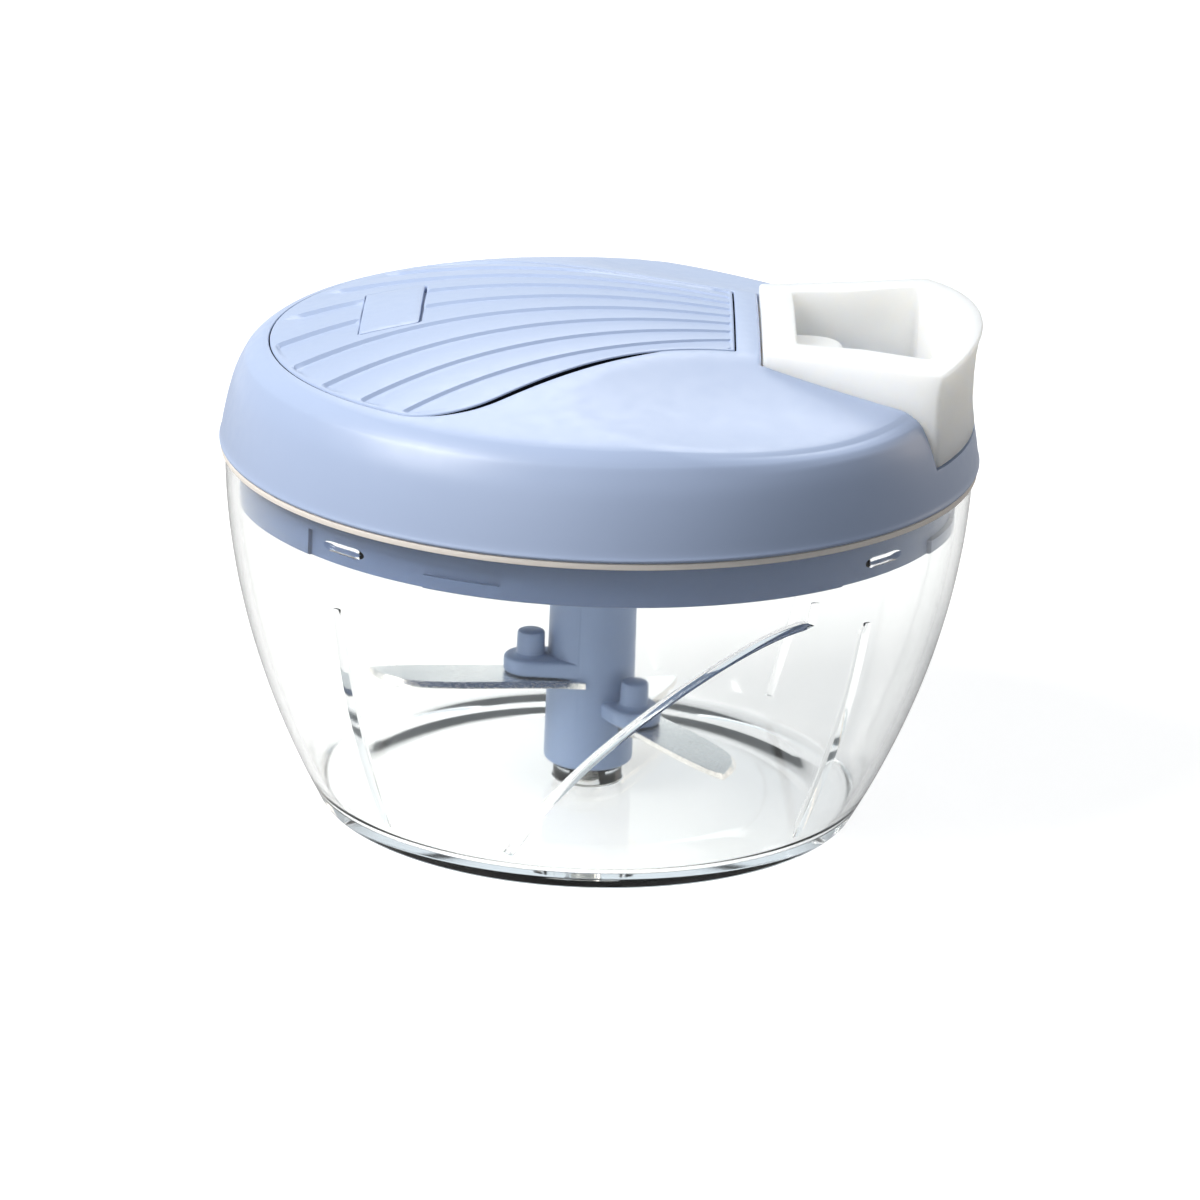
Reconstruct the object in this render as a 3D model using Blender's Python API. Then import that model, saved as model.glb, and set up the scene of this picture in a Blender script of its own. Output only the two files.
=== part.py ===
"""Pull-cord garlic chopper: a clear bowl, three knives on a hub, and a lid whose cord and handle spin them.

Metres, +Z up. The origin is the middle of the bowl's underside and +X points to the pull handle.
Azimuths are measured from +X towards +Y.
"""

import math

import bmesh
import bpy
from mathutils import Matrix, Vector

MM = 0.001

# Clearances
FIT = 0.3 * MM
REEL_CLEARANCE = 0.4 * MM
EMBED = 0.8 * MM

# Facets of round pieces
WIDE_SEGMENTS = 54
MIDDLE_SEGMENTS = 32
SMALL_SEGMENTS = 18

# Bowl
BOWL_MOUTH_RADIUS = 63.2 * MM
BOWL_FOOT_RADIUS = 46.5 * MM
BOWL_HEIGHT = 62.6 * MM
BOWL_BULGE = 4.5 * MM
BOWL_WALL = 2.0 * MM
BOWL_FLOOR = 3.0 * MM
FOOT_EDGE = 1.0 * MM
RIM_BEAD_WIDTH = 0.9 * MM
RIM_BEAD_HEIGHT = 1.5 * MM

# Ribs on the bowl's inner wall
UPRIGHT_RIBS = 4
UPRIGHT_RIB_AZIMUTH = -43.0
UPRIGHT_RIB_DROP = 15.6 * MM
SLANTED_RIBS = 2
SLANTED_RIB_AZIMUTH = -55.0
SLANTED_RIB_SWEEP = -50.0
SLANTED_RIB_DROP = 13.2 * MM
SLANTED_RIB_LEAD = 3.6 * MM
SLANTED_RIB_POWER = 1.7
RIB_WIDTH = 1.9 * MM
RIB_HEIGHT = 1.5 * MM

# Bayonet: lugs inside the bowl's mouth, and lugs round the lid's skirt
LUGS = 4
LUG_ARC = 12.0
LUG_AZIMUTH = -41.0
LUG_HEIGHT = 1.6 * MM
LUG_DROP = 5.6 * MM
LUG_STOP_ARC = 1.3
LUG_STOP_HEIGHT = 2.2 * MM
LUG_CLEARANCE = 0.7 * MM
LOCK_TURN = 20.0

# Pivot in the bowl's floor
PIVOT_BOSS_RADIUS = 6.0 * MM
PIVOT_BOSS_HEIGHT = 3.0 * MM
PIVOT_PIN_RADIUS = 2.0 * MM
PIVOT_PIN_REACH = 13.0 * MM
PIVOT_PIN_SOCKET = 4.0 * MM

# Blade hub
HUB_FOOT_RADIUS = 7.7 * MM
HUB_TOP_RADIUS = 7.3 * MM
HUB_SOCKET_RADIUS = 5.6 * MM
HUB_SOCKET_DEPTH = 12.0 * MM
HUB_TOP_DROP = 4.1 * MM
DOG_ARC = 60.0
DOG_DROP = 2.5 * MM
DOG_BACKLASH = 1.5
SHAFT_CORE_RADIUS = 2.8 * MM

# Knives, from the top one down, with the azimuth that each points to
KNIVES = (("upper", 180.0), ("middle", 300.0), ("lower", 60.0))
KNIFE_TOP_HEIGHT = 21.6 * MM
KNIFE_STEP = 6.8 * MM
KNIFE_LENGTH = 38.3 * MM
KNIFE_THICKNESS = 1.0 * MM
KNIFE_BELLY = 11.0 * MM
KNIFE_BELLY_X = 27.5 * MM
KNIFE_TIP = 4.1 * MM
KNIFE_TIP_BACK = 2.3 * MM
KNIFE_GRIND = 1.6 * MM
ARM_REACH = 10.5 * MM
ARM_OFFSET = 2.7 * MM
ARM_RADIUS = 4.6 * MM
ARM_THICKNESS = 2.7 * MM
PEG_RADIUS = 2.4 * MM
PEG_HEIGHT = 4.4 * MM
RIVET_RADIUS = 1.1 * MM
RIVET_HEAD_RADIUS = 2.6 * MM
RIVET_HEAD_THICKNESS = 1.2 * MM
RIVET_REACH = 3.2 * MM

# Lid base: plate, skirt, spring cup and hub collar
PLATE_THICKNESS = 2.0 * MM
SKIRT_WALL = 2.0 * MM
SKIRT_DEPTH = 8.3 * MM
SEAL_SPACE = 1.7 * MM
SEAL_HEIGHT = 2.3 * MM
COLLAR_WALL = 1.6 * MM
COLLAR_DEPTH = 6.7 * MM
COLLAR_CLEARANCE = 1.4 * MM
BASE_RIBS = 12
BASE_RIB_HEIGHT = 2.0 * MM
BASE_RIB_THICKNESS = 1.4 * MM

# Shaft, bush, spring and reel, stacked on the lid base
SHAFT_RADIUS = 5.0 * MM
HEX_RADIUS = 4.5 * MM
BUSH_WALL = 1.7 * MM
BUSH_FLANGE_RADIUS = 9.5 * MM
BUSH_FLANGE_THICKNESS = 0.8 * MM
BUSH_TAIL = 1.9 * MM
SPRING_HEIGHT = 3.6 * MM
SPRING_STRIP = 0.5 * MM
SPRING_TURNS = 5
SPRING_OUTER_RADIUS = 19.8 * MM
CUP_WALL = 1.8 * MM
SPRING_COVER_THICKNESS = 0.7 * MM
DRUM_RADIUS = 15.1 * MM
REEL_FLANGE_RADIUS = 18.6 * MM
REEL_FLANGE_THICKNESS = 0.8 * MM
REEL_WEB = 1.4 * MM
REEL_RIM_WALL = 1.8 * MM
REEL_BOSS_RADIUS = 8.0 * MM
REEL_BOSS_DROP = 2.6 * MM
WASHER_RADIUS = 6.0 * MM
WASHER_THICKNESS = 0.6 * MM

# Cord
CORD_DIAMETER = 1.8 * MM
CORD_TURNS = 3
CORD_TURN_GAP = 0.45 * MM
CORD_SIDE_GAP = 0.15 * MM
CORD_POINTS_PER_TURN = 24
KNOT_RADIUS = 2.0 * MM

# Lid cover
LID_OVERHANG = 1.4 * MM
LID_EDGE_GAP = 0.46 * MM
LID_WALL = 2.2 * MM
TOP_SKIN = 4.0 * MM
DOME_RADIUS = 223.0 * MM
# Lid side: how far in from the lid's radius, and how high above its lower edge
LID_SIDE = (
    (0.2 * MM, 0.0 * MM),
    (0.0 * MM, 0.5 * MM),
    (0.3 * MM, 1.0 * MM),
    (0.7 * MM, 4.0 * MM),
    (1.4 * MM, 7.4 * MM),
    (2.4 * MM, 10.9 * MM),
    (3.8 * MM, 13.9 * MM),
    (4.7 * MM, 15.1 * MM),
    (6.0 * MM, 16.2 * MM),
    (7.8 * MM, 17.1 * MM),
)
# Scooped dish on each shoulder
DISH_CENTRE = (25.0 * MM, 38.5 * MM)
DISH_HALF_LENGTH = 31.0 * MM
DISH_HALF_WIDTH = 18.5 * MM
DISH_TURN = 12.0
DISH_DEPTH = 2.0 * MM

# Wave panel set into the top
PANEL_THICKNESS = 1.8 * MM
PANEL_GAP = 0.45 * MM
PANEL_NOTCH_GAP = 1.2 * MM
PANEL_CENTRE_X = -2.5 * MM
PANEL_RADIUS = 53.8 * MM
PANEL_TURN_AZIMUTH = 236.5
PANEL_NECK_END = 21.8 * MM
PANEL_NECK_HALF = 18.3 * MM
PANEL_CORNER = (-17.2 * MM, -41.6 * MM)
PANEL_CORNER_SLOPE = (0.74, 0.67)
FLUTE_DEPTH_SHARE = 0.085
FLUTE_WIDTH_AT_NECK = 4.3 * MM
FLUTE_SPREAD = 0.115
FLUTE_SPREAD_GROWTH = 0.4
FLUTE_DRIFT = 3.0 * MM
FLUTE_DRIFT_REACH = 36.0 * MM
FLUTE_DRIFT_POWER = 2.7
INSET_X = (-41.0 * MM, -31.0 * MM)
INSET_NEAR_Y = (-9.8 * MM, -7.0 * MM)
INSET_FAR_Y = (15.6 * MM, 19.0 * MM)
INSET_THICKNESS = 0.9 * MM

# Screws that hold the cover to the base
SCREW_PLACES = ((-36.0 * MM, 26.0 * MM), (-6.0 * MM, 28.0 * MM))
SCREW_RADIUS = 1.1 * MM
SCREW_HEAD_RADIUS = 2.6 * MM
SCREW_HEAD_THICKNESS = 1.1 * MM
SCREW_POST_RADIUS = 3.5 * MM
SCREW_BOSS_RADIUS = 4.0 * MM
SCREW_RECESS = 2.0 * MM
SCREW_JOINT_HEIGHT = 11.0 * MM

# Pull handle and its well
HANDLE_INNER_X = 26.5 * MM
HANDLE_INNER_HALF = 21.5 * MM
HANDLE_OUTER_INSET = 9.0 * MM
HANDLE_OUTER_HALF = 30.0 * MM
# End face: share of the height, and how far its middle and corners lie inside the lid's radius
HANDLE_END = (
    (0.0, 1.2 * MM, 8.9 * MM),
    (0.25, 1.7 * MM, 9.2 * MM),
    (0.55, 1.7 * MM, 9.3 * MM),
    (0.75, 1.4 * MM, 9.3 * MM),
    (0.9, 0.8 * MM, 9.2 * MM),
    (1.0, 0.4 * MM, 9.1 * MM),
)
HANDLE_BELOW_CORD = 3.6 * MM
HANDLE_CROWN_Z_ABOVE_APEX = -0.5 * MM
HANDLE_CROWN_FALL = 1.6
HANDLE_EDGE = 0.7 * MM
HANDLE_CORNER = 1.2 * MM
INNER_BAR = 5.7 * MM
OUTER_BAR = 10.8 * MM
HOLE_INNER_HALF = 15.8 * MM
HOLE_OUTER_HALF = 20.0 * MM
BOSS_REACH = 8.4 * MM
BOSS_HALF = 5.5 * MM
BOSS_DROP = 6.4 * MM
WELL_WALL = 2.0 * MM
WELL_FLOOR = 2.0 * MM
EYELET_RADIUS = 2.2 * MM
EYELET_FLANGE_RADIUS = 3.9 * MM
EYELET_FLANGE = 1.3 * MM
EYELET_BORE = 1.35 * MM

# Colours as linear RGB, with roughness
LID_BLUE = (0.47, 0.58, 0.79)
HUB_BLUE = (0.30, 0.39, 0.58)
WHITE = (0.85, 0.85, 0.82)
CLEAR = (0.90, 0.93, 0.93)
STEEL = (0.62, 0.62, 0.60)
SPRING_STEEL = (0.35, 0.36, 0.38)
NATURAL = (0.74, 0.72, 0.66)
SILICONE = (0.80, 0.82, 0.84)

# Derived levels, from the bowl's rim upwards
LID_RADIUS = BOWL_MOUTH_RADIUS + LID_OVERHANG
HANDLE_OUTER_X = LID_RADIUS - HANDLE_OUTER_INSET
PLATE_BOTTOM = BOWL_HEIGHT + FIT
PLATE_TOP = PLATE_BOTTOM + PLATE_THICKNESS
SEAM_Z = BOWL_HEIGHT + LID_EDGE_GAP
BUSH_FLANGE_TOP = PLATE_TOP + FIT + BUSH_FLANGE_THICKNESS
SPRING_BOTTOM = BUSH_FLANGE_TOP + 2 * FIT
SPRING_TOP = SPRING_BOTTOM + SPRING_HEIGHT
CUP_TOP = SPRING_TOP + FIT
SPRING_COVER_BOTTOM = CUP_TOP + FIT
SPRING_COVER_TOP = SPRING_COVER_BOTTOM + SPRING_COVER_THICKNESS
REEL_BOTTOM = SPRING_COVER_TOP + FIT
CORD_RADIUS = CORD_DIAMETER / 2
CORD_PITCH = CORD_DIAMETER + CORD_TURN_GAP
DRUM_HEIGHT = CORD_TURNS * CORD_PITCH + CORD_DIAMETER + 2 * CORD_SIDE_GAP
REEL_TOP = REEL_BOTTOM + DRUM_HEIGHT + 2 * REEL_FLANGE_THICKNESS
CORD_Z = REEL_BOTTOM + REEL_FLANGE_THICKNESS + CORD_SIDE_GAP + CORD_RADIUS
WINDING_RADIUS = DRUM_RADIUS + CORD_RADIUS + 0.1 * MM
APEX_Z = REEL_TOP + REEL_CLEARANCE + TOP_SKIN + REEL_FLANGE_RADIUS**2 / (2 * DOME_RADIUS)
SKIRT_RADIUS = BOWL_MOUTH_RADIUS - BOWL_WALL - SEAL_SPACE
PLATE_RADIUS = LID_RADIUS - LID_WALL - 0.6 * MM
SHAFT_BOTTOM = PLATE_BOTTOM - HUB_TOP_DROP - HUB_SOCKET_DEPTH + 3 * FIT
WELL_FLOOR_Z = CORD_Z - HANDLE_BELOW_CORD - FIT
HANDLE_BOTTOM = CORD_Z - HANDLE_BELOW_CORD
WELL_INNER_X = HANDLE_INNER_X - FIT
EYELET_FACE_X = WELL_INNER_X - WELL_WALL - FIT - EYELET_FLANGE
KNOT_X = HANDLE_INNER_X + INNER_BAR + BOSS_REACH - BOSS_HALF + 0.6 * MM
KNOT_POCKET_RADIUS = KNOT_RADIUS + 0.9 * MM


def clear_scene():
    for obj in list(bpy.data.objects):
        bpy.data.objects.remove(obj, do_unlink=True)


def make_material(name, colour, roughness, metallic=0.0, alpha=1.0):
    material = bpy.data.materials.new(name)
    material.use_nodes = True
    shader = material.node_tree.nodes["Principled BSDF"]
    shader.inputs["Base Color"].default_value = (*colour, 1.0)
    shader.inputs["Roughness"].default_value = roughness
    shader.inputs["Metallic"].default_value = metallic
    shader.inputs["Alpha"].default_value = alpha
    material.diffuse_color = (*colour, alpha)
    return material


def smooth_by_angle():
    """A modifier's node group that leaves only the edges sharper than 30 degrees unsmoothed."""
    group = bpy.data.node_groups.new("smooth_by_angle", "GeometryNodeTree")
    group.interface.new_socket("Geometry", in_out="INPUT", socket_type="NodeSocketGeometry")
    group.interface.new_socket("Geometry", in_out="OUTPUT", socket_type="NodeSocketGeometry")
    entry = group.nodes.new("NodeGroupInput")
    leave = group.nodes.new("NodeGroupOutput")
    angle = group.nodes.new("GeometryNodeInputMeshEdgeAngle")
    sharper = group.nodes.new("FunctionNodeCompare")
    sharper.operation = "GREATER_THAN"
    sharper.inputs["B"].default_value = math.radians(30.0)
    shade = group.nodes.new("GeometryNodeSetShadeSmooth")
    shade.domain = "EDGE"
    shade.inputs["Shade Smooth"].default_value = False
    group.links.new(angle.outputs["Unsigned Angle"], sharper.inputs["A"])
    group.links.new(sharper.outputs["Result"], shade.inputs["Selection"])
    group.links.new(entry.outputs["Geometry"], shade.inputs["Geometry"])
    group.links.new(shade.outputs["Geometry"], leave.inputs["Geometry"])
    return group


def add_object(name, bm, colour=None, roughness=0.45, metallic=0.0, alpha=1.0, sharp=30.0):
    """Turns a bmesh into an object. Without a colour it is a helper, which only cuts or joins."""
    bmesh.ops.recalc_face_normals(bm, faces=bm.faces[:])
    mesh = bpy.data.meshes.new(name)
    bm.to_mesh(mesh)
    bm.free()
    mesh.shade_smooth()
    mesh.set_sharp_from_angle(angle=math.radians(sharp))
    obj = bpy.data.objects.new(name, mesh)
    bpy.context.scene.collection.objects.link(obj)
    if colour is None:
        obj.hide_render = True
        obj.display_type = "WIRE"
    else:
        mesh.materials.append(make_material(name, colour, roughness, metallic, alpha))
    return obj


def add_boolean(obj, other, operation):
    modifier = obj.modifiers.new(f"{operation.lower()}_{other.name}", "BOOLEAN")
    modifier.operation = operation
    modifier.solver = "EXACT"
    modifier.object = other
    return obj


def polar(radius, azimuth, z=0.0):
    angle = math.radians(azimuth)
    return Vector((radius * math.cos(angle), radius * math.sin(angle), z))


def turned(profile, segments=MIDDLE_SEGMENTS, shape=None):
    """Spins a closed outline of (radius, z) about Z. shape may move each finished point."""
    bm = bmesh.new()
    rings = []
    for radius, z in profile:
        count = segments if radius > 1e-7 else 1
        rings.append([bm.verts.new(polar(radius, 360.0 * k / segments, z)) for k in range(count)])
    for lower, upper in zip(rings, rings[1:] + rings[:1]):
        short, full = sorted((lower, upper), key=len)
        if len(full) == 1:
            continue
        if len(short) == 1 and abs(short[0].co.z - full[0].co.z) < 1e-7:
            bm.faces.new(full)
            continue
        for k in range(segments):
            corners = [lower[k % len(lower)], lower[(k + 1) % len(lower)]]
            corners += [upper[(k + 1) % len(upper)], upper[k % len(upper)]]
            bm.faces.new(list(dict.fromkeys(corners)))
    loose = [vert for vert in bm.verts if not vert.link_faces]
    bmesh.ops.delete(bm, geom=loose, context="VERTS")
    if shape:
        for vert in bm.verts:
            vert.co = shape(vert.co)
    return bm


def lofted(loops, strips=False):
    """Joins closed loops of points, each as long as the next, and caps the ends with a face or strips."""
    bm = bmesh.new()
    rings = [[bm.verts.new(point) for point in loop] for loop in loops]
    count = len(rings[0])
    for lower, upper in zip(rings, rings[1:]):
        for k in range(count):
            after = (k + 1) % count
            bm.faces.new((lower[k], lower[after], upper[after], upper[k]))
    for ring in (rings[0][::-1], rings[-1]):
        if not strips:
            bm.faces.new(ring)
            continue
        for k in range(count // 2 - 1):
            bm.faces.new((ring[k], ring[k + 1], ring[count - 2 - k], ring[count - 1 - k]))
    return bm


def prism(outline, bottom, top):
    return lofted([[Vector((x, y, z)) for x, y in outline] for z in (bottom, top)])


def cylinder(radius, bottom, top, centre=(0.0, 0.0), segments=SMALL_SEGMENTS, edge=0.0):
    """An upright cylinder, whose two edges can be chamfered."""
    levels = [(radius - edge, bottom), (radius, bottom + edge), (radius, top - edge), (radius - edge, top)]
    if not edge:
        levels = [(radius, bottom), (radius, top)]
    middle = Vector((*centre, 0.0))
    return lofted([[middle + polar(r, 360.0 * k / segments, z) for k in range(segments)] for r, z in levels])


def grid_solid(rows, top, bottom):
    """A closed solid over rows of (x, y) points, between two surfaces z = top(x, y) and z = bottom(x, y)."""
    bm = bmesh.new()
    sheets = []
    for surface in (bottom, top):
        sheets.append([[bm.verts.new((x, y, surface(x, y))) for x, y in row] for row in rows])
    rows_count = len(rows)
    columns = len(rows[0])
    for sheet in sheets:
        for i in range(rows_count - 1):
            for j in range(columns - 1):
                bm.faces.new((sheet[i][j], sheet[i][j + 1], sheet[i + 1][j + 1], sheet[i + 1][j]))
    edge = [(0, j) for j in range(columns)]
    edge += [(i, columns - 1) for i in range(1, rows_count)]
    edge += [(rows_count - 1, j) for j in range(columns - 2, -1, -1)]
    edge += [(i, 0) for i in range(rows_count - 2, 0, -1)]
    for (i, j), (m, n) in zip(edge, edge[1:] + edge[:1]):
        bm.faces.new((sheets[0][i][j], sheets[0][m][n], sheets[1][m][n], sheets[1][i][j]))
    return bm


def combined(meshes):
    """Several closed meshes in one bmesh, used as one tool."""
    whole = bmesh.new()
    for bm in meshes:
        mesh = bpy.data.meshes.new("piece")
        bmesh.ops.recalc_face_normals(bm, faces=bm.faces[:])
        bm.to_mesh(mesh)
        bm.free()
        whole.from_mesh(mesh)
        bpy.data.meshes.remove(mesh)
    return whole


def moved(bm, matrix):
    bmesh.ops.transform(bm, matrix=matrix, verts=bm.verts[:])
    return bm


def arc_points(radius, start, end, steps, centre=(0.0, 0.0)):
    points = []
    for k in range(steps + 1):
        point = polar(radius, start + (end - start) * k / steps)
        points.append((centre[0] + point.x, centre[1] + point.y))
    return points


def arc_block(inner, outer, start, end, bottom, top, steps=4):
    outline = arc_points(outer, start, end, steps) + arc_points(inner, end, start, steps)
    return prism(outline, bottom, top)


def bezier(start, first, second, end, steps):
    points = []
    for k in range(steps + 1):
        t = k / steps
        weights = ((1 - t) ** 3, 3 * t * (1 - t) ** 2, 3 * t * t * (1 - t), t**3)
        places = list(zip(weights, (start, first, second, end)))
        points.append(tuple(sum(w * place[axis] for w, place in places) for axis in (0, 1)))
    return points


def tube(name, points, radius, colour, roughness=0.6, sides=2):
    """A cord or wire along points, as a curve with a round bevel and filled ends."""
    curve = bpy.data.curves.new(name, "CURVE")
    curve.dimensions = "3D"
    curve.bevel_depth = radius
    curve.bevel_resolution = sides
    curve.use_fill_caps = True
    spline = curve.splines.new("POLY")
    spline.points.add(len(points) - 1)
    for target, point in zip(spline.points, points):
        target.co = (*point, 1.0)
    obj = bpy.data.objects.new(name, curve)
    bpy.context.scene.collection.objects.link(obj)
    curve.materials.append(make_material(name, colour, roughness))
    return obj


# Bowl


def bowl_radius(z):
    """Outer radius of the bowl's wall: a straight taper with a bulge in the middle."""
    share = z / BOWL_HEIGHT
    taper = BOWL_FOOT_RADIUS + (BOWL_MOUTH_RADIUS - BOWL_FOOT_RADIUS) * share
    return taper + 4 * BOWL_BULGE * share * (1 - share)


def bowl_profile():
    levels = 5
    wall_top = BOWL_HEIGHT - RIM_BEAD_HEIGHT
    bead_radius = BOWL_MOUTH_RADIUS + RIM_BEAD_WIDTH
    profile = [(0.0, 0.0), (BOWL_FOOT_RADIUS - FOOT_EDGE, 0.0)]
    for k in range(levels + 1):
        z = FOOT_EDGE + (wall_top - FOOT_EDGE) * k / levels
        profile.append((bowl_radius(z), z))
    profile.append((bead_radius, wall_top + RIM_BEAD_WIDTH / 2))
    profile.append((bead_radius, BOWL_HEIGHT - FIT))
    profile.append((bead_radius - FIT, BOWL_HEIGHT))
    profile.append((BOWL_MOUTH_RADIUS - BOWL_WALL, BOWL_HEIGHT))
    fillet = 2 * BOWL_FLOOR
    for k in range(levels + 1):
        z = wall_top + (fillet - wall_top) * k / levels
        profile.append((bowl_radius(z) - BOWL_WALL, z))
    profile.append((bowl_radius(BOWL_FLOOR) - BOWL_WALL - BOWL_FLOOR / 2, BOWL_FLOOR + 0.4 * MM))
    profile.append((bowl_radius(BOWL_FLOOR) - BOWL_WALL - BOWL_FLOOR, BOWL_FLOOR))
    profile.append((0.0, BOWL_FLOOR))
    return profile


def wall_rib(path):
    """A rib along (azimuth, z) places on the bowl's inner wall."""
    points = [polar(bowl_radius(z) - BOWL_WALL, azimuth, z) for azimuth, z in path]
    loops = []
    for k, point in enumerate(points):
        along = points[min(k + 1, len(points) - 1)] - points[max(k - 1, 0)]
        inward = Vector((-point.x, -point.y, 0.0)).normalized()
        side = along.cross(inward).normalized() * RIB_WIDTH / 2
        root = inward * EMBED
        crest = inward * RIB_HEIGHT
        loop = [point - side - root, point + side - root]
        loop += [point + 0.6 * side + crest, point - 0.6 * side + crest]
        loops.append(loop)
    return lofted(loops)


def upright_rib(azimuth):
    top = BOWL_HEIGHT - UPRIGHT_RIB_DROP
    bottom = 2 * BOWL_FLOOR
    return wall_rib([(azimuth, top + (bottom - top) * k / 6) for k in range(7)])


def slanted_rib(azimuth):
    top = BOWL_HEIGHT - SLANTED_RIB_DROP
    bottom = 2 * BOWL_FLOOR
    path = [(azimuth + 0.5, top + SLANTED_RIB_LEAD)]
    steps = 12
    for k in range(steps + 1):
        share = k / steps
        path.append((azimuth + SLANTED_RIB_SWEEP * share, top + (bottom - top) * share**SLANTED_RIB_POWER))
    return wall_rib(path)


def lug_levels():
    top = BOWL_HEIGHT - LUG_DROP + LUG_HEIGHT
    return top - LUG_HEIGHT, top


def make_bowl():
    bowl = add_object("bowl", turned(bowl_profile(), WIDE_SEGMENTS), CLEAR, 0.05, 0.0, 0.35)
    details = []
    for k in range(UPRIGHT_RIBS):
        details.append(upright_rib(UPRIGHT_RIB_AZIMUTH + 360.0 * k / UPRIGHT_RIBS))
    for k in range(SLANTED_RIBS):
        details.append(slanted_rib(SLANTED_RIB_AZIMUTH + 360.0 * k / SLANTED_RIBS))
    wall = BOWL_MOUTH_RADIUS - BOWL_WALL
    reach = SKIRT_RADIUS + FIT
    bottom, top = lug_levels()
    for k in range(LUGS):
        middle = LUG_AZIMUTH + 360.0 * k / LUGS
        start = middle - LUG_ARC / 2
        details.append(arc_block(reach, wall + EMBED, start, middle + LUG_ARC / 2, bottom, top))
        stop_bottom = bottom - LUG_STOP_HEIGHT
        stop_end = start - 0.2
        stop = arc_block(reach, wall + EMBED, stop_end - LUG_STOP_ARC, stop_end, stop_bottom, top, 1)
        details.append(stop)
    boss_top = BOWL_FLOOR + PIVOT_BOSS_HEIGHT
    details.append(cylinder(PIVOT_BOSS_RADIUS, BOWL_FLOOR - EMBED, boss_top, edge=0.3 * MM))
    add_boolean(bowl, add_object("bowl_details", combined(details)), "UNION")
    pin_bottom = boss_top - PIVOT_PIN_SOCKET
    socket = cylinder(PIVOT_PIN_RADIUS + FIT, pin_bottom, boss_top + EMBED)
    add_boolean(bowl, add_object("pivot_socket", socket), "DIFFERENCE")
    pin = cylinder(PIVOT_PIN_RADIUS, pin_bottom + FIT, boss_top + PIVOT_PIN_REACH, edge=0.5 * MM)
    add_object("pivot_pin", pin, STEEL, 0.25, 1.0)


# Blade hub and knives


def knife_loops(bottom):
    """Underside and top outlines of a knife that points to -X; its ground edge faces -Y."""
    hub = HUB_FOOT_RADIUS + FIT
    root = (-0.8 * MM, -hub - 0.6 * MM)
    belly = (-KNIFE_BELLY_X, -KNIFE_BELLY)
    tip = (-KNIFE_LENGTH, -KNIFE_TIP)
    run = KNIFE_BELLY_X / 3
    edge = bezier(root, (root[0] - run, root[1]), (belly[0] + run, belly[1]), belly, 7)
    before_tip = (tip[0] + 1.8 * MM, tip[1] - 3.4 * MM)
    edge += bezier(belly, (belly[0] - 6.0 * MM, belly[1]), before_tip, tip, 6)[1:]
    back_end = (-hub, 0.0)
    after_tip = (tip[0] + 4.0 * MM, tip[1] + KNIFE_TIP_BACK)
    back = bezier(tip, after_tip, (-2.2 * hub, -0.9 * MM), back_end, 6)[1:-1]
    loops = []
    for z, grind in ((bottom, 0.0), (bottom + KNIFE_THICKNESS, KNIFE_GRIND)):
        outline = []
        for k, (x, y) in enumerate(edge):
            drawn_in = grind * min(1.0, k / 2, (len(edge) - 1 - k) / 2)
            outline.append((x, y + drawn_in))
        outline += back
        outline += arc_points(hub, 180.0, 264.0, 6)
        loops.append([Vector((x, y, z)) for x, y in outline])
    return loops


def make_knives(hub):
    hole_radius = RIVET_RADIUS + FIT
    for number, (name, azimuth) in enumerate(KNIVES):
        bottom = KNIFE_TOP_HEIGHT - number * KNIFE_STEP
        turn = Matrix.Rotation(math.radians(azimuth - 180.0), 4, "Z")
        centre = (-ARM_REACH, -ARM_OFFSET)
        knife = add_object(f"blade_{name}", moved(lofted(knife_loops(bottom)), turn), STEEL, 0.22, 1.0)
        drill = cylinder(hole_radius, bottom - 5 * MM, bottom + 5 * MM, centre)
        add_boolean(knife, add_object(f"blade_{name}_hole", moved(drill, turn)), "DIFFERENCE")

        arm_bottom = bottom + KNIFE_THICKNESS + FIT
        arm_top = arm_bottom + ARM_THICKNESS
        near, far = -ARM_OFFSET - ARM_RADIUS, -ARM_OFFSET + ARM_RADIUS
        bore_side = -PIVOT_PIN_RADIUS - 0.8 * MM
        outline = [(-0.5 * MM, near), *arc_points(ARM_RADIUS, 270.0, 90.0, 10, centre), (bore_side, far)]
        outline.append((bore_side, -ARM_RADIUS + 1.0 * MM))
        arm = add_object(f"arm_{name}", moved(prism(outline, arm_bottom, arm_top), turn))
        soften = arm.modifiers.new("edges", "BEVEL")
        soften.width = 0.5 * MM
        soften.segments = 1
        add_boolean(hub, arm, "UNION")
        peg = cylinder(PEG_RADIUS, arm_top - EMBED, arm_top + PEG_HEIGHT, centre, edge=0.3 * MM)
        add_boolean(hub, add_object(f"peg_{name}", moved(peg, turn)), "UNION")
        bore = cylinder(hole_radius, arm_bottom - 2 * MM, arm_top + RIVET_REACH + FIT, centre)
        add_boolean(hub, add_object(f"arm_bore_{name}", moved(bore, turn)), "DIFFERENCE")

        head_top = bottom - FIT
        middle = Vector((*centre, 0.0))
        levels = (
            (0.6 * RIVET_HEAD_RADIUS, head_top - RIVET_HEAD_THICKNESS),
            (RIVET_HEAD_RADIUS, head_top - 0.5 * RIVET_HEAD_THICKNESS),
            (RIVET_HEAD_RADIUS, head_top),
            (RIVET_RADIUS, head_top),
            (RIVET_RADIUS, arm_top + RIVET_REACH),
        )
        count = SMALL_SEGMENTS
        loops = [[middle + polar(r, 360.0 * k / count, z) for k in range(count)] for r, z in levels]
        add_object(f"blade_rivet_{name}", moved(lofted(loops), turn), STEEL, 0.35, 1.0)


def hub_levels():
    bottom = BOWL_FLOOR + PIVOT_BOSS_HEIGHT + FIT
    top = PLATE_BOTTOM - HUB_TOP_DROP
    return bottom, top


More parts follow.
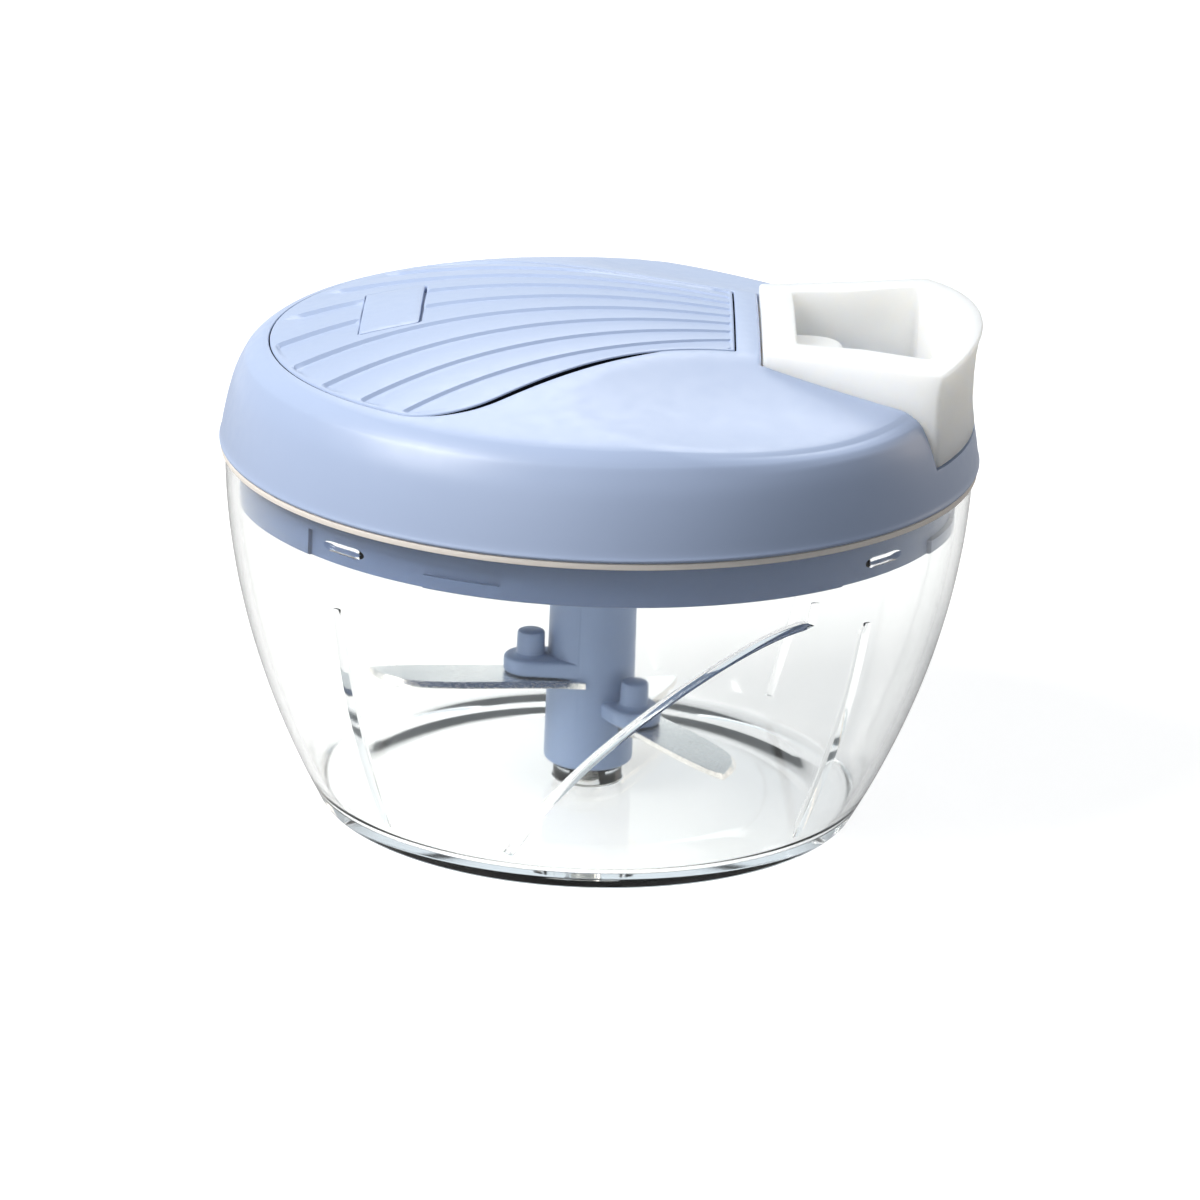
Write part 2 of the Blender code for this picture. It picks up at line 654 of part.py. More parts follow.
def make_hub():
    bottom, top = hub_levels()
    pin_bore_top = BOWL_FLOOR + PIVOT_BOSS_HEIGHT + PIVOT_PIN_REACH + FIT
    pin_bore = PIVOT_PIN_RADIUS + FIT
    profile = [
        (0.0, pin_bore_top),
        (pin_bore, pin_bore_top),
        (pin_bore, bottom),
        (HUB_FOOT_RADIUS - 0.5 * MM, bottom),
        (HUB_FOOT_RADIUS, bottom + 0.5 * MM),
        (HUB_TOP_RADIUS, top - 0.4 * MM),
        (HUB_TOP_RADIUS - 0.4 * MM, top),
        (HUB_SOCKET_RADIUS, top),
        (HUB_SOCKET_RADIUS, top - HUB_SOCKET_DEPTH),
        (0.0, top - HUB_SOCKET_DEPTH),
    ]
    hub = add_object("blade_hub", turned(profile), HUB_BLUE, 0.4)
    dogs = []
    for middle in (90.0, 270.0):
        start, end = middle - DOG_ARC / 2, middle + DOG_ARC / 2
        floor = top - HUB_SOCKET_DEPTH - EMBED
        wall = (HUB_SOCKET_RADIUS + HUB_TOP_RADIUS) / 2
        dogs.append(arc_block(SHAFT_CORE_RADIUS + FIT, wall, start, end, floor, top - DOG_DROP, 5))
    add_boolean(hub, add_object("hub_dogs", combined(dogs)), "UNION")
    make_knives(hub)


# Drive in the lid


def make_drive_shaft():
    """Two lobes below, which turn the hub through its dogs, a round journal, and a hexagon for the reel."""
    bottom = SHAFT_BOTTOM
    hub_top = hub_levels()[1]
    space = 180.0 - DOG_ARC
    lobe = space - LOCK_TURN - 2 * DOG_BACKLASH
    outline = []
    for middle in (90.0, 270.0):
        lobe_start = middle + DOG_ARC / 2 + LOCK_TURN + DOG_BACKLASH
        dog_end = lobe_start + lobe
        outline += arc_points(HUB_SOCKET_RADIUS - FIT, lobe_start, dog_end, 8)
        outline += arc_points(SHAFT_CORE_RADIUS, dog_end, lobe_start + 180.0, 5)
    shaft = add_object("drive_shaft", prism(outline, bottom, hub_top + 0.6 * MM), NATURAL, 0.4)
    journal_top = REEL_BOTTOM - FIT
    add_boolean(shaft, add_object("journal", cylinder(SHAFT_RADIUS, hub_top + FIT, journal_top)), "UNION")
    top = REEL_TOP - REEL_BOSS_DROP - FIT
    hexagon = [tuple(polar(HEX_RADIUS, 60.0 * k).xy) for k in range(6)]
    add_boolean(shaft, add_object("hexagon", prism(hexagon, journal_top - EMBED, top)), "UNION")
    screw_bore = cylinder(SCREW_RADIUS + FIT, REEL_BOTTOM + FIT, top + EMBED)
    add_boolean(shaft, add_object("shaft_bore", screw_bore), "DIFFERENCE")


def make_bush():
    inner = SHAFT_RADIUS + FIT
    outer = inner + BUSH_WALL
    profile = [
        (inner, PLATE_BOTTOM - BUSH_TAIL),
        (outer, PLATE_BOTTOM - BUSH_TAIL),
        (outer, PLATE_TOP + FIT),
        (BUSH_FLANGE_RADIUS, PLATE_TOP + FIT),
        (BUSH_FLANGE_RADIUS, BUSH_FLANGE_TOP),
        (inner, BUSH_FLANGE_TOP),
    ]
    add_object("shaft_bush", turned(profile, SMALL_SEGMENTS), NATURAL, 0.35)


def spiral_loop(angle, radius):
    """Four corners of the spring strip at one place of its spiral."""
    corners = []
    low, high = SPRING_BOTTOM, SPRING_TOP
    for offset, z in ((0, low), (SPRING_STRIP, low), (SPRING_STRIP, high), (0, high)):
        corners.append(polar(radius + offset, angle, z))
    return corners


def make_spring():
    """A flat clock spring, from the shaft out to the cup."""
    start = SHAFT_RADIUS + FIT
    steps = SPRING_TURNS * 14
    loops = []
    for k in range(steps + 1):
        share = k / steps
        radius = start + (SPRING_OUTER_RADIUS - SPRING_STRIP - start) * share
        loops.append(spiral_loop(360.0 * SPRING_TURNS * share, radius))
    add_object("spiral_spring", lofted(loops), SPRING_STEEL, 0.3, 1.0)


def make_spring_cover():
    inner = SHAFT_RADIUS + 4 * FIT
    outer = SPRING_OUTER_RADIUS + FIT + CUP_WALL
    profile = [
        (inner, SPRING_COVER_BOTTOM),
        (outer, SPRING_COVER_BOTTOM),
        (outer, SPRING_COVER_TOP),
        (inner, SPRING_COVER_TOP),
    ]
    add_object("spring_cover", turned(profile), WHITE, 0.5)


def make_reel():
    drum_bottom = REEL_BOTTOM + REEL_FLANGE_THICKNESS
    drum_top = REEL_TOP - REEL_FLANGE_THICKNESS
    boss_top = REEL_TOP - REEL_BOSS_DROP
    hollow = DRUM_RADIUS - REEL_RIM_WALL
    profile = [
        (0.0, REEL_BOTTOM),
        (REEL_FLANGE_RADIUS, REEL_BOTTOM),
        (REEL_FLANGE_RADIUS, drum_bottom),
        (DRUM_RADIUS, drum_bottom),
        (DRUM_RADIUS, drum_top),
        (REEL_FLANGE_RADIUS, drum_top),
        (REEL_FLANGE_RADIUS, REEL_TOP),
        (hollow, REEL_TOP),
        (hollow, REEL_BOTTOM + REEL_WEB),
        (REEL_BOSS_RADIUS, REEL_BOTTOM + REEL_WEB),
        (REEL_BOSS_RADIUS, boss_top),
        (0.0, boss_top),
    ]
    reel = add_object("reel", turned(profile), WHITE, 0.4)
    hexagon = [tuple(polar(HEX_RADIUS + FIT / math.cos(math.radians(30.0)), 60.0 * k).xy) for k in range(6)]
    bore = prism(hexagon, REEL_BOTTOM - EMBED, boss_top + EMBED)
    add_boolean(reel, add_object("reel_bore", bore), "DIFFERENCE")
    washer_bottom = boss_top + FIT
    washer = [
        (SCREW_RADIUS + FIT, washer_bottom),
        (WASHER_RADIUS, washer_bottom),
        (WASHER_RADIUS, washer_bottom + WASHER_THICKNESS),
        (SCREW_RADIUS + FIT, washer_bottom + WASHER_THICKNESS),
    ]
    add_object("reel_washer", turned(washer, SMALL_SEGMENTS), STEEL, 0.3, 1.0)
    head_bottom = washer_bottom + WASHER_THICKNESS + FIT
    make_screw("reel_screw", (0.0, 0.0), head_bottom, REEL_BOTTOM + 2 * FIT)


def make_screw(name, place, head_bottom, tip):
    """A round-headed screw with a cross recess."""
    middle = Vector((*place, 0.0))
    head_top = head_bottom + SCREW_HEAD_THICKNESS
    levels = (
        (0.5 * SCREW_RADIUS, tip),
        (SCREW_RADIUS, tip + SCREW_RADIUS),
        (SCREW_RADIUS, head_bottom),
        (SCREW_HEAD_RADIUS, head_bottom),
        (SCREW_HEAD_RADIUS, head_bottom + 0.6 * SCREW_HEAD_THICKNESS),
        (0.7 * SCREW_HEAD_RADIUS, head_top),
    )
    count = 16
    loops = [[middle + polar(r, 360.0 * k / count, z) for k in range(count)] for r, z in levels]
    screw = add_object(name, lofted(loops), STEEL, 0.3, 1.0)
    half, wide = 1.5 * MM, 0.3 * MM
    cross = [(half, -wide), (half, wide), (wide, wide), (wide, half), (-wide, half), (-wide, wide)]
    cross += [(-half, wide), (-half, -wide), (-wide, -wide), (-wide, -half), (wide, -half), (wide, -wide)]
    recess = prism([(place[0] + x, place[1] + y) for x, y in cross], head_top - 0.6 * MM, head_top + EMBED)
    add_boolean(screw, add_object(f"{name}_recess", recess), "DIFFERENCE")


# Cord


def cord_leave_azimuth():
    """Azimuth at which the cord leaves the drum, so that it runs straight to the eyelet."""
    return -math.degrees(math.acos(WINDING_RADIUS / (EYELET_FACE_X + 0.9 * MM)))


def make_cord():
    leave = cord_leave_azimuth()
    winding = []
    steps = CORD_TURNS * CORD_POINTS_PER_TURN
    gap_angle = math.degrees(FIT / 2 / WINDING_RADIUS)
    for k in range(steps + 1):
        share = k / steps
        azimuth = leave - gap_angle - 360.0 * CORD_TURNS * (1 - share)
        winding.append(polar(WINDING_RADIUS, azimuth, CORD_Z + CORD_TURNS * CORD_PITCH * (1 - share)))
    half_turn = CORD_POINTS_PER_TURN // 2
    least = min((a - b).length for i, a in enumerate(winding) for b in winding[i + half_turn :])
    print(f"cord_winding: least gap to itself {(least - CORD_DIAMETER) / MM:.2f} mm")
    tube("cord_winding", winding, CORD_RADIUS, WHITE, sides=1)

    start = polar(WINDING_RADIUS, leave, CORD_Z)
    bend = Vector((EYELET_FACE_X + 0.9 * MM, 0.0, CORD_Z))
    along = (bend - start).normalized()
    lead = [start + along * (FIT / 2), start.lerp(bend, 0.3), start.lerp(bend, 0.6)]
    curve_start = bend - along * 2.6 * MM
    curve_end = bend + Vector((2.6 * MM, 0.0, 0.0))
    for k in range(5):
        t = k / 4
        lead.append(curve_start * (1 - t) ** 2 + bend * 2 * t * (1 - t) + curve_end * t * t)
    knot_start = Vector((KNOT_X - KNOT_RADIUS - FIT, 0.0, CORD_Z))
    lead += [curve_end.lerp(knot_start, 0.5), knot_start]
    tube("cord_lead", lead, CORD_RADIUS, WHITE, sides=2)

    knot = bmesh.new()
    bmesh.ops.create_icosphere(knot, subdivisions=2, radius=KNOT_RADIUS)
    knot = moved(knot, Matrix.Translation((KNOT_X, 0.0, CORD_Z)))
    add_object("cord_knot", knot, WHITE, 0.6)


def make_eyelet():
    """A flanged ring in the well's wall, with a flared mouth that the cord runs over."""
    face = EYELET_FACE_X
    flange_back = face + EYELET_FLANGE
    end = WELL_INNER_X - FIT
    profile = [
        (EYELET_FLANGE_RADIUS - 0.3 * MM, face),
        (EYELET_FLANGE_RADIUS, face + 0.4 * MM),
        (EYELET_FLANGE_RADIUS, flange_back),
        (EYELET_RADIUS, flange_back),
        (EYELET_RADIUS, end),
        (EYELET_BORE, end),
        (EYELET_BORE, flange_back + 0.5 * MM),
        (EYELET_BORE + 0.4 * MM, face + 0.8 * MM),
        (EYELET_BORE + 1.5 * MM, face),
    ]
    ring = turned(profile, 16)
    to_x = Matrix.Translation((0.0, 0.0, CORD_Z)) @ Matrix.Rotation(math.radians(90.0), 4, "Y")
    add_object("cord_eyelet", moved(ring, to_x), STEEL, 0.2, 1.0)


# Lid


def dome_z(x, y):
    return APEX_Z - (x * x + y * y) / (2 * DOME_RADIUS)


def dish_depth(x, y):
    """How deep the scooped dish is at a place, on either shoulder."""
    dx = x - DISH_CENTRE[0]
    dy = abs(y) - DISH_CENTRE[1]
    turn = math.radians(DISH_TURN)
    along = dx * math.cos(turn) - dy * math.sin(turn)
    across = dx * math.sin(turn) + dy * math.cos(turn)
    share = (along / DISH_HALF_LENGTH) ** 2 + (across / DISH_HALF_WIDTH) ** 2
    return DISH_DEPTH * max(0.0, 1.0 - share) ** 1.3


def cover_side():
    return [(LID_RADIUS - inset, SEAM_Z + rise) for inset, rise in LID_SIDE]


def make_cover_body():
    side = cover_side()
    last = side[-1][0]
    dome = [last * share for share in (0.92, 0.83, 0.74, 0.64, 0.53, 0.36)]
    profile = [(0.0, SEAM_Z), *side]
    profile += [(r, dome_z(r, 0.0)) for r in dome]
    profile.append((0.0, APEX_Z))

    def scooped(point):
        if point.z < SEAM_Z + LID_SIDE[3][1]:
            return point
        return Vector((point.x, point.y, point.z - dish_depth(point.x, point.y)))

    return turned(profile, WIDE_SEGMENTS, scooped)


def flared_half(x):
    """Half-width of the handle at a distance from the axis."""
    share = (x - HANDLE_INNER_X) / (HANDLE_OUTER_X - HANDLE_INNER_X)
    return HANDLE_INNER_HALF + (HANDLE_OUTER_HALF - HANDLE_INNER_HALF) * share


def well_outline(gap):
    """The well's plan, which runs out past the lid's edge."""
    inner_x = HANDLE_INNER_X - gap
    outer_x = LID_RADIUS + 5 * MM
    inner = flared_half(inner_x) + gap
    outer = flared_half(outer_x) + gap
    return [(inner_x, inner), (inner_x, -inner), (outer_x, -outer), (outer_x, outer)]


def make_cavity_tool():
    side = [(r - LID_WALL, z) for r, z in cover_side()]
    ledge = PLATE_TOP + FIT
    ledge_radius = side[3][0] - 1.2 * MM
    profile = [(0.0, SEAM_Z - EMBED), (side[2][0], SEAM_Z - EMBED), (side[2][0], ledge)]
    profile += [(ledge_radius, ledge), (ledge_radius, side[3][1]), side[5]]
    ceiling = side[-2][0]
    profile.append((ceiling, dome_z(ceiling, 0.0) - TOP_SKIN))
    profile.append((REEL_FLANGE_RADIUS + 2 * MM, REEL_TOP + REEL_CLEARANCE))
    profile.append((0.0, REEL_TOP + REEL_CLEARANCE))
    tool = add_object("cover_cavity", turned(profile, WIDE_SEGMENTS))
    keep = [prism(well_outline(FIT + WELL_WALL), WELL_FLOOR_Z - WELL_FLOOR, APEX_Z + EMBED)]
    for place in screw_places():
        keep.append(cylinder(SCREW_BOSS_RADIUS, screw_joint_z() + FIT, APEX_Z + EMBED, place))
    for k, bm in enumerate(keep):
        add_boolean(tool, add_object(f"cover_keep_{k}", bm), "DIFFERENCE")
    return tool


def panel_outline(gap=0.0, notch_gap=0.0, steps=10):
    """Plan of the wave panel: a round left side, an S-curve each side and a straight neck."""
    turn = polar(PANEL_RADIUS, PANEL_TURN_AZIMUTH) + Vector((PANEL_CENTRE_X, 0.0, 0.0))
    tangent = polar(1.0, PANEL_TURN_AZIMUTH + 90.0)
    slope = Vector(PANEL_CORNER_SLOPE).normalized()
    corner = Vector(PANEL_CORNER)
    first = bezier(turn.xy, turn.xy + tangent.xy * 4.0 * MM, corner - slope * 6.8 * MM, corner, steps // 2)
    neck_end = (PANEL_NECK_END, -PANEL_NECK_HALF)
    before_neck = (4.0 * MM, -PANEL_NECK_HALF - 2.3 * MM)
    second = bezier(corner, corner + slope * 13.0 * MM, before_neck, neck_end, steps)
    lower = first[:-1] + second
    start = 360.0 - PANEL_TURN_AZIMUTH
    left = arc_points(PANEL_RADIUS, start, PANEL_TURN_AZIMUTH, 24, (PANEL_CENTRE_X, 0.0))
    upper = [(x, -y) for x, y in reversed(lower)]
    outline = left[:-1] + lower + upper[:-1]
    count = len(outline)
    grown = []
    for k, point in enumerate(outline):
        before, after = Vector(outline[k - 1]), Vector(outline[(k + 1) % count])
        here = Vector(point)
        ahead, behind = (after - here).normalized(), (here - before).normalized()
        normal = Vector((ahead.y + behind.y, -ahead.x - behind.x)).normalized()
        spread = 1.0 / max(0.6, normal.dot(Vector((ahead.y, -ahead.x))))
        along_notch = max(0.0, 1.0 - ((here.x + 8.0 * MM) / (15.0 * MM)) ** 2)
        width = gap + notch_gap * along_notch * (here.x > PANEL_CORNER[0] - 6.0 * MM)
        grown.append(tuple(here + normal * spread * width))
    return grown


def flute_line(x, number):
    """Where crest line number runs at x: the lines fan out from the neck and drift to one side."""
    run = max(0.0, PANEL_NECK_END - x)
    width = FLUTE_WIDTH_AT_NECK + FLUTE_SPREAD * run + FLUTE_SPREAD_GROWTH * run * run
    drift = -FLUTE_DRIFT * (run / FLUTE_DRIFT_REACH) ** FLUTE_DRIFT_POWER
    return drift + number * width, width


def make_panel():
    """Concave flutes between crest lines, cut to the panel's outline."""
    first, last, cuts = -5, 6, 3
    stations = 13
    left, right = PANEL_CENTRE_X - PANEL_RADIUS - 2 * MM, PANEL_NECK_END + 2 * MM
    rows = []
    heights = {}
    for i in range(stations + 1):
        x = left + (right - left) * i / stations
        row = []
        for j in range((last - first) * cuts + 1):
            number = first + j / cuts
            y, width = flute_line(x, number)
            share = number - math.floor(number)
            row.append((x, y))
            heights[x, y] = -4 * share * (1 - share) * FLUTE_DEPTH_SHARE * width
        rows.append(row)

    def top(x, y):
        return dome_z(x, y) + heights[x, y]

    def bottom(x, y):
        return dome_z(x, y) - PANEL_THICKNESS

    panel = add_object("top_panel", grid_solid(rows, top, bottom), LID_BLUE, 0.42, sharp=14.0)
    outline = add_object("panel_outline", prism(panel_outline(), SEAM_Z, APEX_Z + 20 * MM))
    add_boolean(panel, outline, "INTERSECT")
    inset_floor = INSET_THICKNESS + FIT
    seat = inset_block(FIT, lambda x, y: dome_z(x, y) + 5 * MM, lambda x, y: dome_z(x, y) - inset_floor)
    add_boolean(panel, add_object("inset_seat", seat), "DIFFERENCE")
    plate = inset_block(0.0, dome_z, lambda x, y: dome_z(x, y) - INSET_THICKNESS)
    add_object("panel_inset", plate, LID_BLUE, 0.38)


def inset_block(gap, top, bottom):
    """The inset plate or its seat: a slanted four-sided piece, which follows the flutes."""
    rows = []
    for i in range(5):
        share = i / 4
        x = INSET_X[0] - gap + (INSET_X[1] - INSET_X[0] + 2 * gap) * share
        near = INSET_NEAR_Y[0] + (INSET_NEAR_Y[1] - INSET_NEAR_Y[0]) * share - gap
        far = INSET_FAR_Y[0] + (INSET_FAR_Y[1] - INSET_FAR_Y[0]) * share + gap
        rows.append([(x, near + (far - near) * j / 6) for j in range(7)])
    return grid_solid(rows, top, bottom)


def pocket_depth():
    return PANEL_THICKNESS + FIT


def make_pocket_tool():
    reach = PANEL_RADIUS + 6 * MM
    rows = []
    for i in range(11):
        x = -reach + 2 * reach * i / 10
        rows.append([(x, -reach + 2 * reach * j / 10) for j in range(11)])
    tool = grid_solid(rows, lambda x, y: APEX_Z + 10 * MM, lambda x, y: dome_z(x, y) - pocket_depth())
    pocket = add_object("panel_pocket", tool)
    outline = prism(panel_outline(PANEL_GAP, PANEL_NOTCH_GAP), SEAM_Z, APEX_Z + 20 * MM)
    return add_boolean(pocket, add_object("pocket_outline", outline), "INTERSECT")


def screw_places():
    return [(x, side * y) for x, y in SCREW_PLACES for side in (1, -1)]


def screw_joint_z():
    return PLATE_TOP + SCREW_JOINT_HEIGHT


def screw_seat_z(place):
    return dome_z(*place) - pocket_depth() - SCREW_RECESS


def make_cover():
    cover = add_object("lid_cover", make_cover_body(), LID_BLUE, 0.42, sharp=28.0)
    add_boolean(cover, make_cavity_tool(), "DIFFERENCE")
    add_boolean(cover, make_pocket_tool(), "DIFFERENCE")
    well = prism(well_outline(FIT), WELL_FLOOR_Z, APEX_Z + 10 * MM)
    add_boolean(cover, add_object("handle_well", well), "DIFFERENCE")
    hole = cylinder(EYELET_RADIUS + FIT, 0.0, 8 * MM)
    place = Matrix.Translation((WELL_INNER_X - 5 * MM, 0.0, CORD_Z))
    to_x = place @ Matrix.Rotation(math.radians(90.0), 4, "Y")
    add_boolean(cover, add_object("eyelet_hole", moved(hole, to_x)), "DIFFERENCE")
    for k, place in enumerate(screw_places()):
        seat = screw_seat_z(place)
        recess = cylinder(SCREW_HEAD_RADIUS + FIT, seat, APEX_Z, place)
        add_boolean(cover, add_object(f"screw_recess_{k}", recess), "DIFFERENCE")
        shank = cylinder(SCREW_RADIUS + FIT, screw_joint_z() - EMBED, seat + EMBED, place)
        add_boolean(cover, add_object(f"screw_hole_{k}", shank), "DIFFERENCE")
        make_screw(f"cover_screw_{k + 1}", place, seat + FIT, PLATE_TOP + 2 * FIT)


def make_base():
    """Plate with the skirt below its rim, the spring cup on it and the collar round the hub under it."""
    hole = SHAFT_RADIUS + FIT + BUSH_WALL + FIT
    collar_inner = HUB_FOOT_RADIUS + COLLAR_CLEARANCE
    collar_outer = collar_inner + COLLAR_WALL
    cup_inner = SPRING_OUTER_RADIUS + FIT
    cup_outer = cup_inner + CUP_WALL
    skirt_bottom = PLATE_BOTTOM - SKIRT_DEPTH
    profile = [
        (0.0, PLATE_BOTTOM),
        (SKIRT_RADIUS - SKIRT_WALL, PLATE_BOTTOM),
        (SKIRT_RADIUS - SKIRT_WALL, skirt_bottom),
        (SKIRT_RADIUS - FIT, skirt_bottom),
        (SKIRT_RADIUS, skirt_bottom + FIT),
        (SKIRT_RADIUS, PLATE_BOTTOM),
        (PLATE_RADIUS, PLATE_BOTTOM),
        (PLATE_RADIUS, PLATE_TOP),
        (0.0, PLATE_TOP),
    ]
    base = add_object("lid_base", turned(profile, WIDE_SEGMENTS), LID_BLUE, 0.45)
    collar = [
        (collar_inner, PLATE_BOTTOM + EMBED),
        (collar_inner, PLATE_BOTTOM - COLLAR_DEPTH),
        (collar_outer, PLATE_BOTTOM - COLLAR_DEPTH),
        (collar_outer, PLATE_BOTTOM + EMBED),
    ]
    cup = [
        (cup_outer, PLATE_TOP - EMBED),
        (cup_outer, CUP_TOP),
        (cup_inner, CUP_TOP),
        (cup_inner, PLATE_TOP - EMBED),
    ]
    tubes = combined([turned(collar, SMALL_SEGMENTS), turned(cup, MIDDLE_SEGMENTS)])
    add_boolean(base, add_object("collar_and_cup", tubes), "UNION")
    extras = []
    lug_bottom, lug_top = lug_levels()
    free_top = lug_bottom - 0.4 * MM
    for k in range(LUGS):
        middle = LUG_AZIMUTH + LOCK_TURN + 360.0 * k / LUGS
        start, end = middle - LUG_ARC / 2, middle + LUG_ARC / 2
        outer = BOWL_MOUTH_RADIUS - BOWL_WALL - LUG_CLEARANCE
        extras.append(arc_block(SKIRT_RADIUS - EMBED, outer, start, end, free_top - LUG_HEIGHT, free_top))
    rib_bottom = PLATE_TOP - EMBED
    for k in range(BASE_RIBS):
        turn = Matrix.Rotation(math.radians(360.0 * (k + 0.5) / BASE_RIBS), 4, "Z")
        half = BASE_RIB_THICKNESS / 2
        start, end = cup_outer - EMBED, PLATE_RADIUS - 2 * MM
        outline = [(start, -half), (end, -half), (end, half), (start, half)]
        extras.append(moved(prism(outline, rib_bottom, PLATE_TOP + BASE_RIB_HEIGHT), turn))
    add_boolean(base, add_object("base_extras", combined(extras)), "UNION")
    for k, place in enumerate(screw_places()):
        post = cylinder(SCREW_POST_RADIUS, rib_bottom, screw_joint_z(), place)
        add_boolean(base, add_object(f"screw_post_{k}", post), "UNION")
    bores = []
    for place in screw_places():
        bores.append(cylinder(SCREW_RADIUS + FIT, PLATE_TOP + FIT, screw_joint_z() + EMBED, place))
    bores.append(cylinder(hole, PLATE_BOTTOM - EMBED, PLATE_TOP + EMBED))
    add_boolean(base, add_object("base_bores", combined(bores)), "DIFFERENCE")


def make_seal():
    """A silicone ring in the gap between the bowl's mouth and the lid's skirt."""
    top = PLATE_BOTTOM - 0.5 * MM
    inner = SKIRT_RADIUS + FIT
    outer = BOWL_MOUTH_RADIUS - BOWL_WALL - FIT
    profile = [
        (inner, top - SEAL_HEIGHT),
        (outer, top - SEAL_HEIGHT),
        (outer, top),
        (inner, top),
    ]
    add_object("seal_ring", turned(profile, WIDE_SEGMENTS), SILICONE, 0.5)


# Pull handle


def crown_z(y):
    return APEX_Z + HANDLE_CROWN_Z_ABOVE_APEX - HANDLE_CROWN_FALL * y * y


def handle_ring(share, rise=0.0, inset=0.0, steps=8):
    """One ring of the handle, a share of the way up to the crown plus rise, and drawn in by inset."""
    for lower, upper in zip(HANDLE_END, HANDLE_END[1:]):
        if share <= upper[0]:
            break
    part = (share - lower[0]) / (upper[0] - lower[0])
    middle = LID_RADIUS - lower[1] - (upper[1] - lower[1]) * part - inset
    corner = LID_RADIUS - lower[2] - (upper[2] - lower[2]) * part - 0.6 * inset
    half = flared_half(corner) - inset
    radius = ((middle - corner) ** 2 + half**2) / (2 * (middle - corner))
    swing = math.degrees(math.asin(half / radius))
    inner_x = HANDLE_INNER_X + inset
    inner_half = HANDLE_INNER_HALF - inset - HANDLE_CORNER
    cut = math.degrees(HANDLE_CORNER / radius)
    inner = [(inner_x, inner_half * (1 - 2 * k / steps)) for k in range(steps + 1)]
    outer = arc_points(radius, swing - cut, cut - swing, steps, (middle - radius, 0.0))
    ends = []
    for x in (inner_x + HANDLE_CORNER, corner - HANDLE_CORNER):
        ends.append((x, flared_half(x) - inset))
    inner = [ends[0], *inner, (ends[0][0], -ends[0][1])]
    outer = [ends[1], *outer, (ends[1][0], -ends[1][1])]
    ring = []
    for x, y in inner + outer[::-1]:
        ring.append(Vector((x, y, HANDLE_BOTTOM + (crown_z(y) - HANDLE_BOTTOM) * share + rise)))
    return ring


def hole_plan(grow):
    """Plan of the finger hole with its corners cut, grown by a little on every side."""
    inner_x = HANDLE_INNER_X + INNER_BAR
    outer_x = LID_RADIUS - HANDLE_END[0][1] - OUTER_BAR
    flare = (HOLE_OUTER_HALF - HOLE_INNER_HALF) / (outer_x - inner_x)
    cut = HANDLE_CORNER
    side = [
        (inner_x - grow, HOLE_INNER_HALF - cut),
        (inner_x - grow + cut, HOLE_INNER_HALF + grow + flare * cut),
        (outer_x + grow - cut, HOLE_OUTER_HALF + grow - flare * cut),
        (outer_x + grow, HOLE_OUTER_HALF - cut),
    ]
    return side + [(x, -y) for x, y in reversed(side)]


def make_handle():
    """A flared loop with a crowned top, whose round end face draws back under a lip."""
    edge = HANDLE_EDGE
    loops = [handle_ring(0.0, 0.0, edge), handle_ring(0.0, edge)]
    loops += [handle_ring(share) for share, middle, corner in HANDLE_END[1:-1]]
    loops += [handle_ring(1.0, -edge), handle_ring(1.0, -0.3 * edge, 0.3 * edge)]
    loops.append(handle_ring(1.0, 0.0, edge))
    handle = add_object("pull_handle", lofted(loops, strips=True), WHITE, 0.38)
    hole = [[Vector((x, y, HANDLE_BOTTOM - EMBED)) for x, y in hole_plan(0.0)]]
    for rise, grow in ((-edge, 0.0), (edge, 2 * edge)):
        hole.append([Vector((x, y, crown_z(y) + rise)) for x, y in hole_plan(grow)])
    finger_hole = add_object("finger_hole", lofted(hole))
    boss_end = HANDLE_INNER_X + INNER_BAR + BOSS_REACH
    boss_top = crown_z(0.0) - BOSS_DROP
    boss_levels = ((HANDLE_BOTTOM - 2 * EMBED, 0.0), (boss_top - edge, 0.0), (boss_top, edge))
    boss = []
    for z, inset in boss_levels:
        half = BOSS_HALF - inset
        outline = [(HANDLE_INNER_X, half), (HANDLE_INNER_X, -half)]
        outline += arc_points(half, -90.0, 90.0, 8, (boss_end - BOSS_HALF, 0.0))
        boss.append([Vector((x, y, z)) for x, y in outline])
    add_boolean(finger_hole, add_object("handle_boss", lofted(boss)), "DIFFERENCE")
    add_boolean(handle, finger_hole, "DIFFERENCE")
    bore = cylinder(EYELET_BORE, 0.0, KNOT_X - HANDLE_INNER_X + EMBED)
    place = Matrix.Translation((HANDLE_INNER_X - EMBED, 0.0, CORD_Z))
    to_x = place @ Matrix.Rotation(math.radians(90.0), 4, "Y")
    add_boolean(handle, add_object("cord_bore", moved(bore, to_x)), "DIFFERENCE")
    pocket = cylinder(KNOT_POCKET_RADIUS, HANDLE_BOTTOM - EMBED, CORD_Z + KNOT_POCKET_RADIUS, (KNOT_X, 0.0))
    add_boolean(handle, add_object("knot_pocket", pocket), "DIFFERENCE")
    cap_top = CORD_Z - KNOT_RADIUS - FIT
    cap = cylinder(KNOT_POCKET_RADIUS - FIT, HANDLE_BOTTOM, cap_top, (KNOT_X, 0.0), edge=0.2 * MM)
    add_object("knot_cap", cap, WHITE, 0.4)


def main():
    clear_scene()
    make_bowl()
    make_hub()
    make_seal()
    make_base()
    make_bush()
    make_drive_shaft()
    make_spring()
    make_spring_cover()
    make_reel()
    make_cord()
    make_eyelet()
    make_cover()
    make_panel()
    make_handle()
    smoothing = smooth_by_angle()
    for obj in bpy.data.objects:
        if obj.type == "MESH" and not obj.hide_render:
            obj.modifiers.new("smooth_by_angle", "NODES").node_group = smoothing


main()
